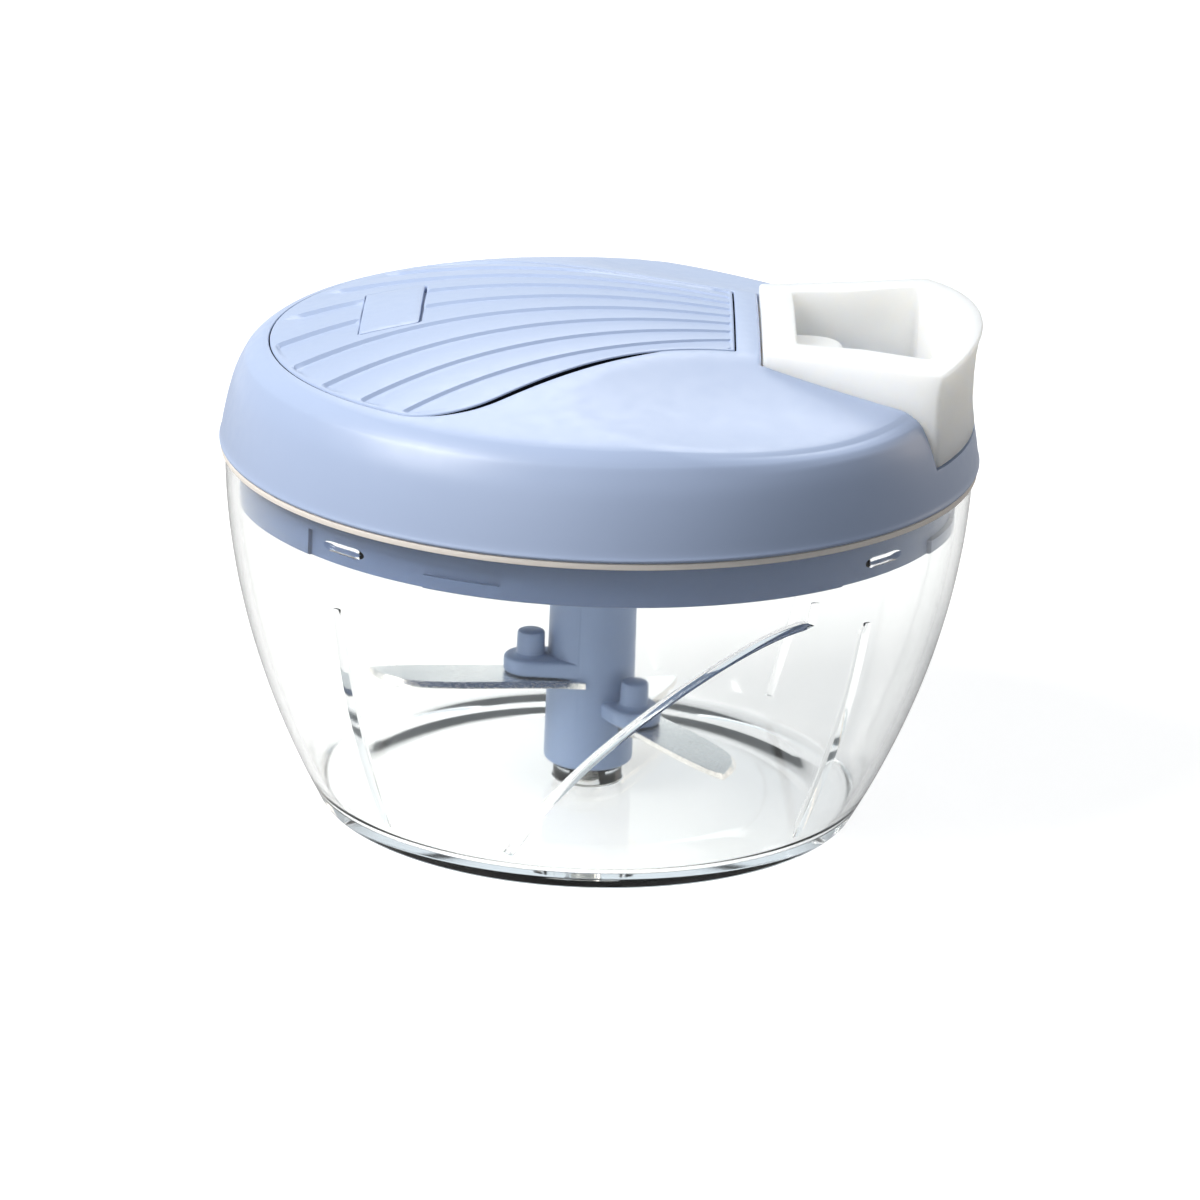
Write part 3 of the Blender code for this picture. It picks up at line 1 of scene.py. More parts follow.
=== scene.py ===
"""Looks of the pull-cord garlic chopper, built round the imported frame.

The row frame is in metres with +Z up and +X to the pull handle. Shapes here are worked out in millimetres
and scaled when their mesh is made. Azimuths are in degrees from +X towards +Y.
"""

import math

import bmesh
import bpy
import numpy as np
from mathutils import Matrix, Vector
from mathutils.geometry import delaunay_2d_cdt


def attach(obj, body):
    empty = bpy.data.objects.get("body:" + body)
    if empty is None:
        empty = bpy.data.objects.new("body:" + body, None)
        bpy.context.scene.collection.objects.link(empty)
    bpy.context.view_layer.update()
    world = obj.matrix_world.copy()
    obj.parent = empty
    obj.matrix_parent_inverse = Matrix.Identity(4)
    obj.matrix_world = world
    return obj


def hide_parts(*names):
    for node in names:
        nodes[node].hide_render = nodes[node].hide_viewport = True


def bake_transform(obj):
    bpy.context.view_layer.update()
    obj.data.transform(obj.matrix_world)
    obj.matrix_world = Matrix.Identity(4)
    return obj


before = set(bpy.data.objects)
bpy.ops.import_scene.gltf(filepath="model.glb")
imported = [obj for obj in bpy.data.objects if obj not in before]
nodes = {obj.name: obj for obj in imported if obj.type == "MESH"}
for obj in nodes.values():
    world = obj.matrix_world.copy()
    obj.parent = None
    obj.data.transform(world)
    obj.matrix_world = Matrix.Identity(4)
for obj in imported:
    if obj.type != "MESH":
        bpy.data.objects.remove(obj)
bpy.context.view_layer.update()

MM = 0.001
AMBIENT = 0.26
FLOOR_GLOW = 0.74

# Sizes in millimetres and angles in degrees. Most are those of the part's source.
FIT = 0.3
BOWL_MOUTH = 63.6
BOWL_FOOT = 46.5
BOWL_HEIGHT = 62.6
BOWL_BULGE = 4.17
BOWL_WALL = 1.9
BOWL_FLOOR = 3.0
RIB_WIDTH = 1.9
RIB_HEIGHT = 1.5
RIB_FOOT = 6.0
UPRIGHT_RIB_AZIMUTH = -43.0
UPRIGHT_RIB_DROP = 15.6
SLANTED_RIB_AZIMUTHS = (-55.0, 125.0)
SLANTED_RIB_SWEEP = -50.0
SLANTED_RIB_DROP = 13.2
LUG_AZIMUTH = -41.0
LUG_HALF_LENGTH = 4.6
LID_RADIUS = 64.6
SEAM_Z = 63.06
PLATE_BOTTOM = 62.9
PLATE_TOP = 64.9
PLATE_RADIUS = 61.8
SKIRT_RADIUS = 59.5
LUG_RADIUS = 60.7
APEX_Z = 87.42
DOME_RADIUS = 223.0
PANEL_CENTRE_X = -2.5
PANEL_RADIUS = 53.8
PANEL_TURN = 236.5
PANEL_NECK_END = 21.8
PANEL_NECK_HALF = 18.3
PANEL_CORNER = (-17.2, -41.6)
PANEL_CORNER_SLOPE = (0.74, 0.67)
PANEL_THICKNESS = 1.8
HANDLE_INNER_X = 26.5
HANDLE_INNER_HALF = 21.5
HANDLE_OUTER_X = 55.6
HANDLE_OUTER_HALF = 30.0
HANDLE_BOTTOM = 70.05
CORD_Z = 73.65
CORD_RADIUS = 0.9
WINDING_RADIUS = 16.1
EYELET_FACE_X = 22.6
KNOT_X = 35.7
SCREW_PLACES = ((-36.0, 26.0), (-36.0, -26.0), (-6.0, 28.0), (-6.0, -28.0))
SCREW_POST_TOP = PLATE_TOP + 11.0
INSET_DEPTH = 0.9
KNIVES = (("upper", 180.0), ("middle", 300.0), ("lower", 60.0))
KNIFE_TOP_LEVEL = 21.6
KNIFE_STEP = 6.8
PEG_PLACE = (-10.5, -2.7)
PEG_BORE = 1.4

LATHE_SEGMENTS = 180


# Mesh tools


def smooth(mesh, sharp):
    """Smooth shading that keeps the edges sharper than an angle in degrees."""
    mesh.shade_smooth()
    mesh.set_sharp_from_angle(angle=math.radians(sharp))


def mesh_object(name, bm, *materials, sharp=32.0):
    """An object in metres from a shape in millimetres, with stray points dropped and pinholes closed."""
    bmesh.ops.remove_doubles(bm, verts=bm.verts[:], dist=1e-4)
    bmesh.ops.delete(bm, geom=[v for v in bm.verts if not v.link_faces], context="VERTS")
    bmesh.ops.holes_fill(bm, edges=[e for e in bm.edges if e.is_boundary], sides=12)
    bmesh.ops.recalc_face_normals(bm, faces=bm.faces[:])
    bmesh.ops.scale(bm, vec=(MM, MM, MM), verts=bm.verts[:])
    mesh = bpy.data.meshes.new(name)
    bm.to_mesh(mesh)
    bm.free()
    smooth(mesh, sharp)
    obj = bpy.data.objects.new(name, mesh)
    bpy.context.scene.collection.objects.link(obj)
    for material in materials:
        mesh.materials.append(material)
    return obj


def apply_boolean(obj, parts, operation, sharp=32.0):
    """Joins or cuts obj with the parts, each a bmesh or an object, which are then removed."""
    tools = [mesh_object("tool", p) if isinstance(p, bmesh.types.BMesh) else p for p in parts]
    for tool in tools:
        modifier = obj.modifiers.new("cut", "BOOLEAN")
        modifier.operation = operation
        modifier.solver = "EXACT"
        modifier.object = tool
    bpy.context.view_layer.update()
    graph = bpy.context.evaluated_depsgraph_get()
    mesh = bpy.data.meshes.new_from_object(obj.evaluated_get(graph))
    obj.modifiers.clear()
    old = obj.data
    obj.data = mesh
    bpy.data.meshes.remove(old)
    for tool in tools:
        bpy.data.objects.remove(tool)
    smooth(mesh, sharp)


def on(obj, body, slot, *replaced):
    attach(obj, body)
    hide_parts(*replaced)


def clamp(value):
    return min(1.0, max(0.0, value))


def polar(radius, azimuth, z=0.0):
    angle = math.radians(azimuth)
    return Vector((radius * math.cos(angle), radius * math.sin(angle), z))


def arc_places(radius, start, end, count, centre=(0.0, 0.0)):
    """Places in plan along an arc between two azimuths."""
    places = (polar(radius, a) for a in np.linspace(start, end, count))
    return [(centre[0] + p.x, centre[1] + p.y) for p in places]


def mirrored(points):
    """Places in plan on the other side of the X axis, in the opposite order."""
    return [np.array((p[0], -p[1])) for p in reversed(points)]


def bezier(a, b, c, d, steps):
    out = []
    for k in range(steps + 1):
        t = k / steps
        w = ((1 - t) ** 3, 3 * t * (1 - t) ** 2, 3 * t * t * (1 - t), t**3)
        out.append(tuple(sum(wi * p[i] for wi, p in zip(w, (a, b, c, d))) for i in range(len(a))))
    return out


def smooth_line(points, steps):
    """A smooth curve through all the points."""
    pts = [np.array(p, float) for p in points]
    pts = [2 * pts[0] - pts[1]] + pts + [2 * pts[-1] - pts[-2]]
    out = []
    for k in range(1, len(pts) - 2):
        p0, p1, p2, p3 = pts[k - 1 : k + 3]
        for j in range(steps):
            t = j / steps
            out.append(0.5 * (2 * p1 + (p2 - p0) * t + (2 * p0 - 5 * p1 + 4 * p2 - p3) * t * t
                              + (3 * p1 - p0 - 3 * p2 + p3) * t**3))
    out.append(pts[-2])
    return out


def rounded(points, closed=True, steps=4):
    """A polyline of (x, y, radius) places with its corners rounded by their radius."""
    out = []
    count = len(points)
    for k, (x, y, radius) in enumerate(points):
        here = np.array((x, y), float)
        if radius <= 0 or (not closed and k in (0, count - 1)):
            out.append(here)
            continue
        before = np.array(points[k - 1][:2], float) - here
        after = np.array(points[(k + 1) % count][:2], float) - here
        la, lb = np.linalg.norm(before), np.linalg.norm(after)
        before, after = before / la, after / lb
        half = math.acos(max(-1.0, min(1.0, float(before @ after)))) / 2
        reach = min(radius / math.tan(half), 0.49 * la, 0.49 * lb)
        real = reach * math.tan(half)
        middle = here + (before + after) / np.linalg.norm(before + after) * (real / math.sin(half))
        start, end = here + before * reach, here + after * reach
        a0 = math.atan2(*(start - middle)[::-1])
        a1 = math.atan2(*(end - middle)[::-1])
        turn = (a1 - a0 + math.pi) % (2 * math.pi) - math.pi
        for j in range(steps + 1):
            a = a0 + turn * j / steps
            out.append(middle + real * np.array((math.cos(a), math.sin(a))))
    return out


def lathe(profile, segments, closed=True):
    """Spins an outline of (radius, z) about Z."""
    bm = bmesh.new()
    rings = []
    for p in profile:
        if p[0] < 1e-6:
            rings.append([bm.verts.new((0.0, 0.0, p[1]))])
        else:
            rings.append([bm.verts.new(polar(p[0], 360.0 * k / segments, p[1])) for k in range(segments)])
    for lower, upper in zip(rings, rings[1:] + (rings[:1] if closed else [])):
        if len(lower) == 1 and len(upper) == 1:
            continue
        for k in range(segments):
            corners = [lower[k % len(lower)], lower[(k + 1) % len(lower)]]
            corners += [upper[(k + 1) % len(upper)], upper[k % len(upper)]]
            bm.faces.new(list(dict.fromkeys(corners)))
    return bm


def loft(loops):
    """A closed solid through loops with the same count of points."""
    bm = bmesh.new()
    rings = [[bm.verts.new(tuple(p)) for p in loop] for loop in loops]
    count = len(rings[0])
    for lower, upper in zip(rings, rings[1:]):
        for k in range(count):
            after = (k + 1) % count
            bm.faces.new((lower[k], lower[after], upper[after], upper[k]))
    bm.faces.new(rings[0][::-1])
    bm.faces.new(rings[-1])
    return bm


def raised(outline, z):
    return [(p[0], p[1], z) for p in outline]


def draped(outline, z):
    """An outline on the surface z(x, y)."""
    return [(p[0], p[1], z(p[0], p[1])) for p in outline]


def prism(outline, bottom, top):
    return loft([raised(outline, bottom), raised(outline, top)])


def disc(radius, bottom, top, centre=(0.0, 0.0), segments=48):
    places = [polar(radius, 360.0 * k / segments) for k in range(segments)]
    return prism([(centre[0] + p.x, centre[1] + p.y) for p in places], bottom, top)


def turned_by(bm, degrees):
    turn = Matrix.Rotation(math.radians(degrees), 3, "Z")
    bmesh.ops.rotate(bm, cent=(0, 0, 0), matrix=turn, verts=bm.verts[:])
    return bm


def along_cord(bm, x):
    """Lays what stands on Z along the cord, from x outward."""
    turn = Matrix.Rotation(math.pi / 2, 3, "Y")
    bmesh.ops.rotate(bm, cent=(0, 0, 0), matrix=turn, verts=bm.verts[:])
    bmesh.ops.translate(bm, vec=(x, 0.0, CORD_Z), verts=bm.verts[:])
    return bm


def subdivided(loop, cuts_for):
    """A closed loop whose sides are cut into as many parts as cuts_for gives for their length."""
    out = []
    for k, p in enumerate(loop):
        q = loop[(k + 1) % len(loop)]
        cuts = cuts_for(np.linalg.norm(q - p))
        out += [p + (q - p) * j / cuts for j in range(cuts)]
    return out


def offset_loop(loop, distance):
    """A closed loop, counter-clockwise, moved outward by distance."""
    pts = np.array([p[:2] for p in loop], float)
    ahead = np.roll(pts, -1, 0) - pts
    ahead /= np.linalg.norm(ahead, axis=1)[:, None]
    behind = np.roll(ahead, 1, 0)
    normal = np.stack([ahead[:, 1] + behind[:, 1], -ahead[:, 0] - behind[:, 0]], 1)
    normal /= np.linalg.norm(normal, axis=1)[:, None]
    spread = 1.0 / np.maximum(0.55, (normal * np.stack([ahead[:, 1], -ahead[:, 0]], 1)).sum(1))
    amount = np.asarray(distance, float) * np.ones(len(pts))
    return pts + normal * (spread * amount)[:, None]


def inside(points, loop):
    """Which points lie in a closed loop."""
    pts = np.asarray(points, float)
    loop = np.asarray(loop, float)
    x, y = pts[:, 0][:, None], pts[:, 1][:, None]
    x0, y0 = loop[:, 0][None], loop[:, 1][None]
    x1, y1 = np.roll(loop[:, 0], -1)[None], np.roll(loop[:, 1], -1)[None]
    crosses = (y0 > y) != (y1 > y)
    at = x0 + (y - y0) * (x1 - x0) / np.where(y1 == y0, 1e-12, y1 - y0)
    return ((crosses & (x < at)).sum(1) % 2) == 1


def distance_to(points, loop):
    """Least distance from each point to a closed loop."""
    pts = np.asarray(points, float)
    loop = np.asarray(loop, float)
    ahead = np.roll(loop, -1, 0) - loop
    length = np.maximum((ahead * ahead).sum(1), 1e-12)
    best = []
    for part in np.array_split(pts, len(pts) // 2000 + 1):
        q = part[:, None, :]
        t = np.clip(((q - loop) * ahead).sum(2) / length, 0, 1)
        best.append(np.sqrt(((q - (loop + ahead * t[:, :, None])) ** 2).sum(2)).min(1))
    return np.concatenate(best)


def triangulated(outer, holes, inner_points, lines=()):
    """Triangles over the plan region in outer and out of the holes. Returns points and faces."""
    coords, edges = [], []
    closed = [outer, *holes]
    for k, points in enumerate([*closed, *lines]):
        first, last = len(coords), len(coords) + len(points) - 1
        coords += [Vector((float(p[0]), float(p[1]))) for p in points]
        edges += [(j, j + 1) for j in range(first, last)]
        if k < len(closed):
            edges.append((last, first))
            border = len(edges)
    coords += [Vector((float(p[0]), float(p[1]))) for p in inner_points]
    verts, made, faces, _, sources, _ = delaunay_2d_cdt(coords, edges, [], 0, 1e-5)
    pts = np.array([(v.x, v.y) for v in verts])
    walls = {tuple(sorted(e)) for e, source in zip(made, sources) if any(s < border for s in source)}
    beside = {}
    for index, face in enumerate(faces):
        for a, b in zip(face, face[1:] + face[:1]):
            beside.setdefault((min(a, b), max(a, b)), []).append(index)
    links = [[] for _ in faces]
    for pair, both in beside.items():
        if pair not in walls and len(both) == 2:
            links[both[0]].append(both[1])
            links[both[1]].append(both[0])

    def area(index):
        a, b, c = (pts[k] for k in faces[index][:3])
        return abs((b[0] - a[0]) * (c[1] - a[1]) - (b[1] - a[1]) * (c[0] - a[0]))

    # each patch between the loops is kept or left by where its largest triangle lies
    kept, seen = [], set()
    for start in range(len(faces)):
        if start in seen:
            continue
        seen.add(start)
        patch, waiting = [], [start]
        while waiting:
            index = waiting.pop()
            patch.append(index)
            for other in links[index]:
                if other not in seen:
                    seen.add(other)
                    waiting.append(other)
        largest = max(patch, key=area)
        middle = [pts[list(faces[largest])].mean(0)]
        solid = area(largest) > 0.001 and inside(middle, outer)[0]
        if solid and not any(inside(middle, hole)[0] for hole in holes):
            kept += [faces[index] for index in patch]
    return pts, kept


def grid_points(outer, holes, spacing, margin):
    """Points in rows, staggered like a honeycomb, over a plan region and clear of its edges."""
    loop = np.asarray(outer, float)
    low, high = loop.min(0), loop.max(0)
    levels = np.arange(low[1], high[1], spacing * math.sqrt(3) / 2)
    pts = np.array([(x, y) for j, y in enumerate(levels)
                    for x in np.arange(low[0] + (j % 2) * spacing / 2, high[0], spacing)])
    pts = pts[inside(pts, loop)]
    for hole in holes:
        pts = pts[~inside(pts, hole)]
    far = np.min([distance_to(pts, edge) for edge in (loop, *holes)], axis=0)
    return pts[far > margin]


def add_filled(bm, outer, holes, spacing, margin, z, look=0):
    """A sheet over a plan region less its holes, at the height z(x, y)."""
    outer = np.array([p[:2] for p in outer])
    holes = [np.array([p[:2] for p in hole]) for hole in holes]
    points, faces = triangulated(outer, holes, grid_points(outer, holes, spacing, margin))
    verts = [bm.verts.new((x, y, z(x, y))) for x, y in points]
    for face in faces:
        bm.faces.new([verts[k] for k in face]).material_index = look


def add_strips(bm, loops, closed=True, look=0):
    """Faces from each line of points to the next."""
    for lines in zip(loops, loops[1:]):
        a, b = [[bm.verts.new(tuple(p)) for p in line] for line in lines]
        for k in range(len(a) if closed else len(a) - 1):
            after = (k + 1) % len(a)
            bm.faces.new((a[k], a[after], b[after], b[k])).material_index = look


# Materials


def node_material(name):
    material = bpy.data.materials.new(name)
    material.use_nodes = True
    return material, material.node_tree, material.node_tree.nodes["Principled BSDF"]


def feed(tree, node, inputs):
    """Gives each input of a node its value, or a link from another node's output."""
    for key, value in inputs.items():
        if isinstance(value, bpy.types.NodeSocket):
            tree.links.new(value, node.inputs[key])
        else:
            node.inputs[key].default_value = value


def add_node(tree, kind, inputs, **settings):
    node = tree.nodes.new(kind)
    for key, value in settings.items():
        setattr(node, key, value)
    feed(tree, node, inputs)
    return node


def coordinates(tree, kind="Object"):
    return tree.nodes.new("ShaderNodeTexCoord").outputs[kind]


def noise(tree, scale, detail, roughness=0.5, stretch=None):
    place = coordinates(tree)
    if stretch:
        place = add_node(tree, "ShaderNodeMapping", {"Vector": place, "Scale": stretch}).outputs["Vector"]
    inputs = {"Vector": place, "Scale": scale, "Detail": detail, "Roughness": roughness}
    return add_node(tree, "ShaderNodeTexNoise", inputs).outputs["Fac"]


def math_node(tree, operation, *values):
    return add_node(tree, "ShaderNodeMath", dict(enumerate(values)), operation=operation).outputs[0]


def colour_between(tree, factor, low, high, start=0.35, end=0.65):
    ramp = add_node(tree, "ShaderNodeValToRGB", {"Fac": factor})
    for element, place, colour in zip(ramp.color_ramp.elements, (start, end), (low, high)):
        element.position = place
        element.color = (*colour, 1.0)
    return ramp.outputs["Color"]


def value_between(tree, value, low, high, places=(0.3, 0.7), **settings):
    """Maps a value between two places onto low and high."""
    inputs = {"Value": value, "From Min": places[0], "From Max": places[1], "To Min": low, "To Max": high}
    return add_node(tree, "ShaderNodeMapRange", inputs, **settings).outputs["Result"]


def bump(tree, height, strength, distance):
    inputs = {"Height": height, "Strength": strength, "Distance": distance}
    return add_node(tree, "ShaderNodeBump", inputs).outputs["Normal"]


def shade(colour, factor):
    return tuple(c * factor for c in colour)


def moulded(name, colour, rough, spread=0.03, grain=0.05, scatter=0.0, specular=0.5, depth=0.004):
    """Injection-moulded plastic: faint flow clouds, a fine eroded grain and slightly uneven gloss."""
    material, tree, shader = node_material(name)
    clouds = noise(tree, 26.0, 2.0)
    gloss = noise(tree, 420.0, 4.0, 0.6)
    feed(tree, shader, {
        "Base Color": colour_between(tree, clouds, shade(colour, 1 - spread), shade(colour, 1 + spread * 0.5)),
        "Roughness": value_between(tree, gloss, rough - 0.05, rough + 0.06),
        "Normal": bump(tree, noise(tree, 5200.0, 2.0), grain, 0.00006),
        "Specular IOR Level": specular,
    })
    if scatter:
        feed(tree, shader, {"Subsurface Weight": scatter, "Subsurface Radius": (1.0, 0.9, 0.75),
                            "Subsurface Scale": depth})
    return material


def metal(name, colour, rough, stretch, lines):
    """Ground or plated metal with fine lines along one direction."""
    material, tree, shader = node_material(name)
    grain = noise(tree, 900.0, 4.0, 0.65, stretch)
    feed(tree, shader, {
        "Base Color": colour_between(tree, noise(tree, 60.0, 3.0), shade(colour, 0.92), colour),
        "Roughness": value_between(tree, grain, rough - 0.06, rough + 0.08),
        "Normal": bump(tree, grain, lines, 0.00003),
        "Metallic": 1.0,
    })
    return material


def clear_plastic(name):
    """Clear styrene: thin refracting walls with faint wipe marks in the gloss, that let lamps through."""
    material, tree, shader = node_material(name)
    wipes = noise(tree, 38.0, 4.0, 0.6)
    feed(tree, shader, {
        "Base Color": colour_between(tree, wipes, (0.955, 0.965, 0.96), (0.985, 0.99, 0.985)),
        "Roughness": value_between(tree, wipes, 0.015, 0.06),
        "IOR": 1.34,
        "Transmission Weight": 1.0,
    })
    shadow = tree.nodes.new("ShaderNodeLightPath").outputs["Is Shadow Ray"]
    through = add_node(tree, "ShaderNodeBsdfTransparent", {"Color": (0.96, 0.97, 0.97, 1.0)})
    mix = add_node(tree, "ShaderNodeMixShader", {0: shadow, 1: shader.outputs[0], 2: through.outputs[0]})
    feed(tree, tree.nodes["Material Output"], {"Surface": mix.outputs[0]})
    return material


def braided(name, colour):
    """A polyester braid: two crossing sets of fine strands."""
    material, tree, shader = node_material(name)
    place = coordinates(tree)
    strands = []
    for turn in (0.9, -0.9):
        inputs = {"Vector": place, "Rotation": (0.0, turn, turn)}
        across = add_node(tree, "ShaderNodeMapping", inputs).outputs["Vector"]
        inputs = {"Vector": across, "Scale": 520.0, "Distortion": 1.2, "Detail": 2.0}
        strands.append(add_node(tree, "ShaderNodeTexWave", inputs).outputs["Fac"])
    both = math_node(tree, "MAXIMUM", *strands)
    feed(tree, shader, {
        # the colour drops to 0.72 of the braid's white where the strands dip: painted shade between the
        # strands
        "Base Color": colour_between(tree, both, shade(colour, 0.72), colour, 0.2, 0.9),
        "Normal": bump(tree, both, 0.7, 0.0002),
        "Roughness": 0.75,
        "Sheen Weight": 0.4,
    })
    return material


LID_COLOUR = (0.40, 0.485, 0.685)
lid_blue = moulded("lid_blue", LID_COLOUR, 0.35, 0.02, 0.05, specular=0.55)
panel_blue = moulded("panel_blue", LID_COLOUR, 0.35, 0.02, 0.06, specular=0.55)
# near-black painted shade for the walls and floors of the gaps round the panel, in the cover's groove and
# under the panel's lip
groove_painted_shade = moulded("groove_shadow", (0.012, 0.014, 0.022), 0.8, 0.1, 0.05, specular=0.1)
# the lid's blue darkened to about a quarter: painted shade for the base plate and its band under the cover's
# overhang, seen through the bowl
base_blue_painted_shade = moulded("base_blue_painted_shade", (0.095, 0.135, 0.235), 0.42, 0.03, 0.05, specular=0.35)
hub_blue = moulded("hub_blue", (0.225, 0.30, 0.46), 0.38, 0.03, 0.06, specular=0.4)
handle_white = moulded("handle_white", (0.98, 0.955, 0.90), 0.36, 0.008, 0.04, scatter=0.8, depth=0.018)
inner_white = moulded("inner_white", (0.82, 0.82, 0.80), 0.45, 0.03, 0.07)
natural = moulded("natural_acetal", (0.74, 0.72, 0.66), 0.4, 0.04, 0.08, scatter=0.1)
silicone = moulded("silicone_natural", (0.95, 0.86, 0.78), 0.55, 0.04, 0.1, scatter=0.2)
knife_steel = metal("ground_steel", (0.95, 0.915, 0.865), 0.24, (1.0, 9.0, 1.0), 0.1)
plated_steel = metal("plated_steel", (0.64, 0.63, 0.60), 0.26, (1.0, 1.0, 6.0), 0.06)
blued_steel = metal("blued_steel", (0.30, 0.33, 0.40), 0.3, (1.0, 1.0, 9.0), 0.08)
clear = clear_plastic("clear_styrene")
cord_white = braided("cord_braid", (0.86, 0.85, 0.81))


# Bowl


def bowl_radius(z):
    share = z / BOWL_HEIGHT
    return BOWL_FOOT + (BOWL_MOUTH - BOWL_FOOT) * share + 4 * BOWL_BULGE * share * (1 - share)


def bowl_outline():
    """The bowl's section: underside, outer wall, rim, inner wall, floor and the pin's boss."""
    wall_top = BOWL_HEIGHT - 0.8
    bead = BOWL_MOUTH + 0.4
    mouth = BOWL_MOUTH - BOWL_WALL
    outline = [(0.0, 0.35), (30.0, 0.35), (38.5, 0.35), (39.5, 0.0)]
    outline += rounded([(39.5, 0.0, 0.0), (BOWL_FOOT, 0.0, 1.3), (bowl_radius(6.0), 6.0, 0.0)],
                       closed=False, steps=6)[1:]
    outline += [(bowl_radius(z), z) for z in np.linspace(7.0, wall_top - 0.6, 40)]
    outline += rounded([(bowl_radius(wall_top - 0.6), wall_top - 0.6, 0.0),
                        (bowl_radius(wall_top), wall_top, 0.5), (bead, wall_top + 0.1, 0.2),
                        (bead, BOWL_HEIGHT, 0.3), (mouth, BOWL_HEIGHT, 0.5), (mouth, wall_top - 1.0, 0.0)],
                       closed=False, steps=5)[1:-1]
    outline += [(bowl_radius(z) - BOWL_WALL, z) for z in np.linspace(wall_top - 1.0, 7.0, 40)]
    outline += rounded([(bowl_radius(7.0) - BOWL_WALL, 7.0, 0.0),
                        (bowl_radius(BOWL_FLOOR) - BOWL_WALL, BOWL_FLOOR, 3.4), (20.0, BOWL_FLOOR, 0.0)],
                       closed=False, steps=8)[1:]
    outline += [(6.6, BOWL_FLOOR)]
    outline += rounded([(6.6, BOWL_FLOOR, 0.0), (6.0, BOWL_FLOOR, 0.5), (6.0, 6.0, 0.6), (2.3, 6.0, 0.2),
                        (2.3, 2.0, 0.0)], closed=False)[1:]
    return outline + [(0.0, 2.0)]


def wall_rib(path):
    """A rib along (azimuth, z) places on the bowl's inner wall, rounded across."""
    pts = [polar(bowl_radius(z) - BOWL_WALL, azimuth, z) for azimuth, z in path]
    loops = []
    for k, point in enumerate(pts):
        along = (pts[min(k + 1, len(pts) - 1)] - pts[max(k - 1, 0)]).normalized()
        inward = Vector((-point.x, -point.y, 0.0)).normalized()
        side = along.cross(inward).normalized()
        fade = min(1.0, 0.35 + k / 2, 0.35 + (len(pts) - 1 - k) / 2)
        loop = [point - side * RIB_WIDTH / 2 - inward * 0.8, point + side * RIB_WIDTH / 2 - inward * 0.8]
        for j in range(7):
            a = math.pi * j / 6
            loop.append(point + side * (RIB_WIDTH / 2) * math.cos(a) ** 3 * (0.8 + 0.2 * abs(math.cos(a)))
                        + inward * RIB_HEIGHT * fade * math.sin(a) ** 0.7)
        loops.append(loop)
    return loft(loops)


def make_bowl():
    bowl = mesh_object("bowl_clear", lathe(bowl_outline(), LATHE_SEGMENTS), clear)
    ribs = []
    levels = np.linspace(BOWL_HEIGHT - UPRIGHT_RIB_DROP, RIB_FOOT, 26)
    for k in range(4):
        ribs.append(wall_rib([(UPRIGHT_RIB_AZIMUTH + 90.0 * k, z) for z in levels]))
    top = BOWL_HEIGHT - SLANTED_RIB_DROP
    shares = [j / 40 for j in range(41)]
    for azimuth in SLANTED_RIB_AZIMUTHS:
        path = [(azimuth + SLANTED_RIB_SWEEP * share, top + (RIB_FOOT - top) * share**1.7) for share in shares]
        ribs.append(wall_rib([(azimuth + 0.5, top + 3.6)] + path))
    low, high = BOWL_HEIGHT - 5.6, BOWL_HEIGHT - 4.0
    for k in range(4):
        middle = LUG_AZIMUTH + 90.0 * k
        start, end = middle - LUG_HALF_LENGTH, middle + LUG_HALF_LENGTH
        lug = []
        for z, inset in ((low - 0.1, 0.9), (low + 0.1, 0.5), (low + 0.4, 0.14), (low + 0.8, 0.0),
                         (high - 0.4, 0.14), (high - 0.1, 0.5), (high + 0.1, 0.9)):
            arc = arc_places(62.5, start, end, 25)
            for a in np.linspace(end, start, 25):
                slope = min(1.0, (a - start) / 2.4, (end - a) / 2.4)
                arc.append(polar(61.9 - (61.9 - LUG_RADIUS) * math.sin(slope * math.pi / 2) + inset, a))
            lug.append(raised(arc, z))
        ribs.append(loft(lug))
    apply_boolean(bowl, ribs, "UNION")
    on(bowl, "bowl", "clear_plastic", "bowl")


# Lid cover


def flared_half(x):
    share = (x - HANDLE_INNER_X) / (HANDLE_OUTER_X - HANDLE_INNER_X)
    return HANDLE_INNER_HALF + (HANDLE_OUTER_HALF - HANDLE_INNER_HALF) * share


FLARE = math.atan((HANDLE_OUTER_HALF - HANDLE_INNER_HALF) / (HANDLE_OUTER_X - HANDLE_INNER_X))


def dome_z(x, y):
    return APEX_Z - (x * x + y * y) / (2 * DOME_RADIUS)


DISH_CENTRE = (25.0, 38.5)
DISH_HALF_LENGTH = 31.0
DISH_HALF_WIDTH = 18.5
DISH_TURN = math.radians(12.0)
DISH_DEPTH = 2.5


def dish_depth(x, y):
    dx, dy = x - DISH_CENTRE[0], abs(y) - DISH_CENTRE[1]
    along = dx * math.cos(DISH_TURN) - dy * math.sin(DISH_TURN)
    across = dx * math.sin(DISH_TURN) + dy * math.cos(DISH_TURN)
    share = (along / DISH_HALF_LENGTH) ** 2 + (across / DISH_HALF_WIDTH) ** 2
    return DISH_DEPTH * max(0.0, 1.0 - share) ** 1.12


SIDE_LINE = np.array(smooth_line([
    (56.2, dome_z(56.2, 0.0)), (57.4, 79.98), (58.6, 79.26), (59.9, 78.16), (60.8, 76.96), (62.2, 73.96),
    (63.2, 70.46), (63.9, 67.06), (64.35, 64.4), (LID_RADIUS, 63.56)], 8))
TOP_RADIUS = 57.8
WELL_FLOOR = 69.75
WELL_INNER_X = HANDLE_INNER_X - FIT
EDGE_STEPS = (0.0, 0.12, 0.3, 0.6)
EDGE_ROUND = 0.6


def side_z(radius):
    return float(np.interp(radius, SIDE_LINE[:, 0], SIDE_LINE[:, 1]))


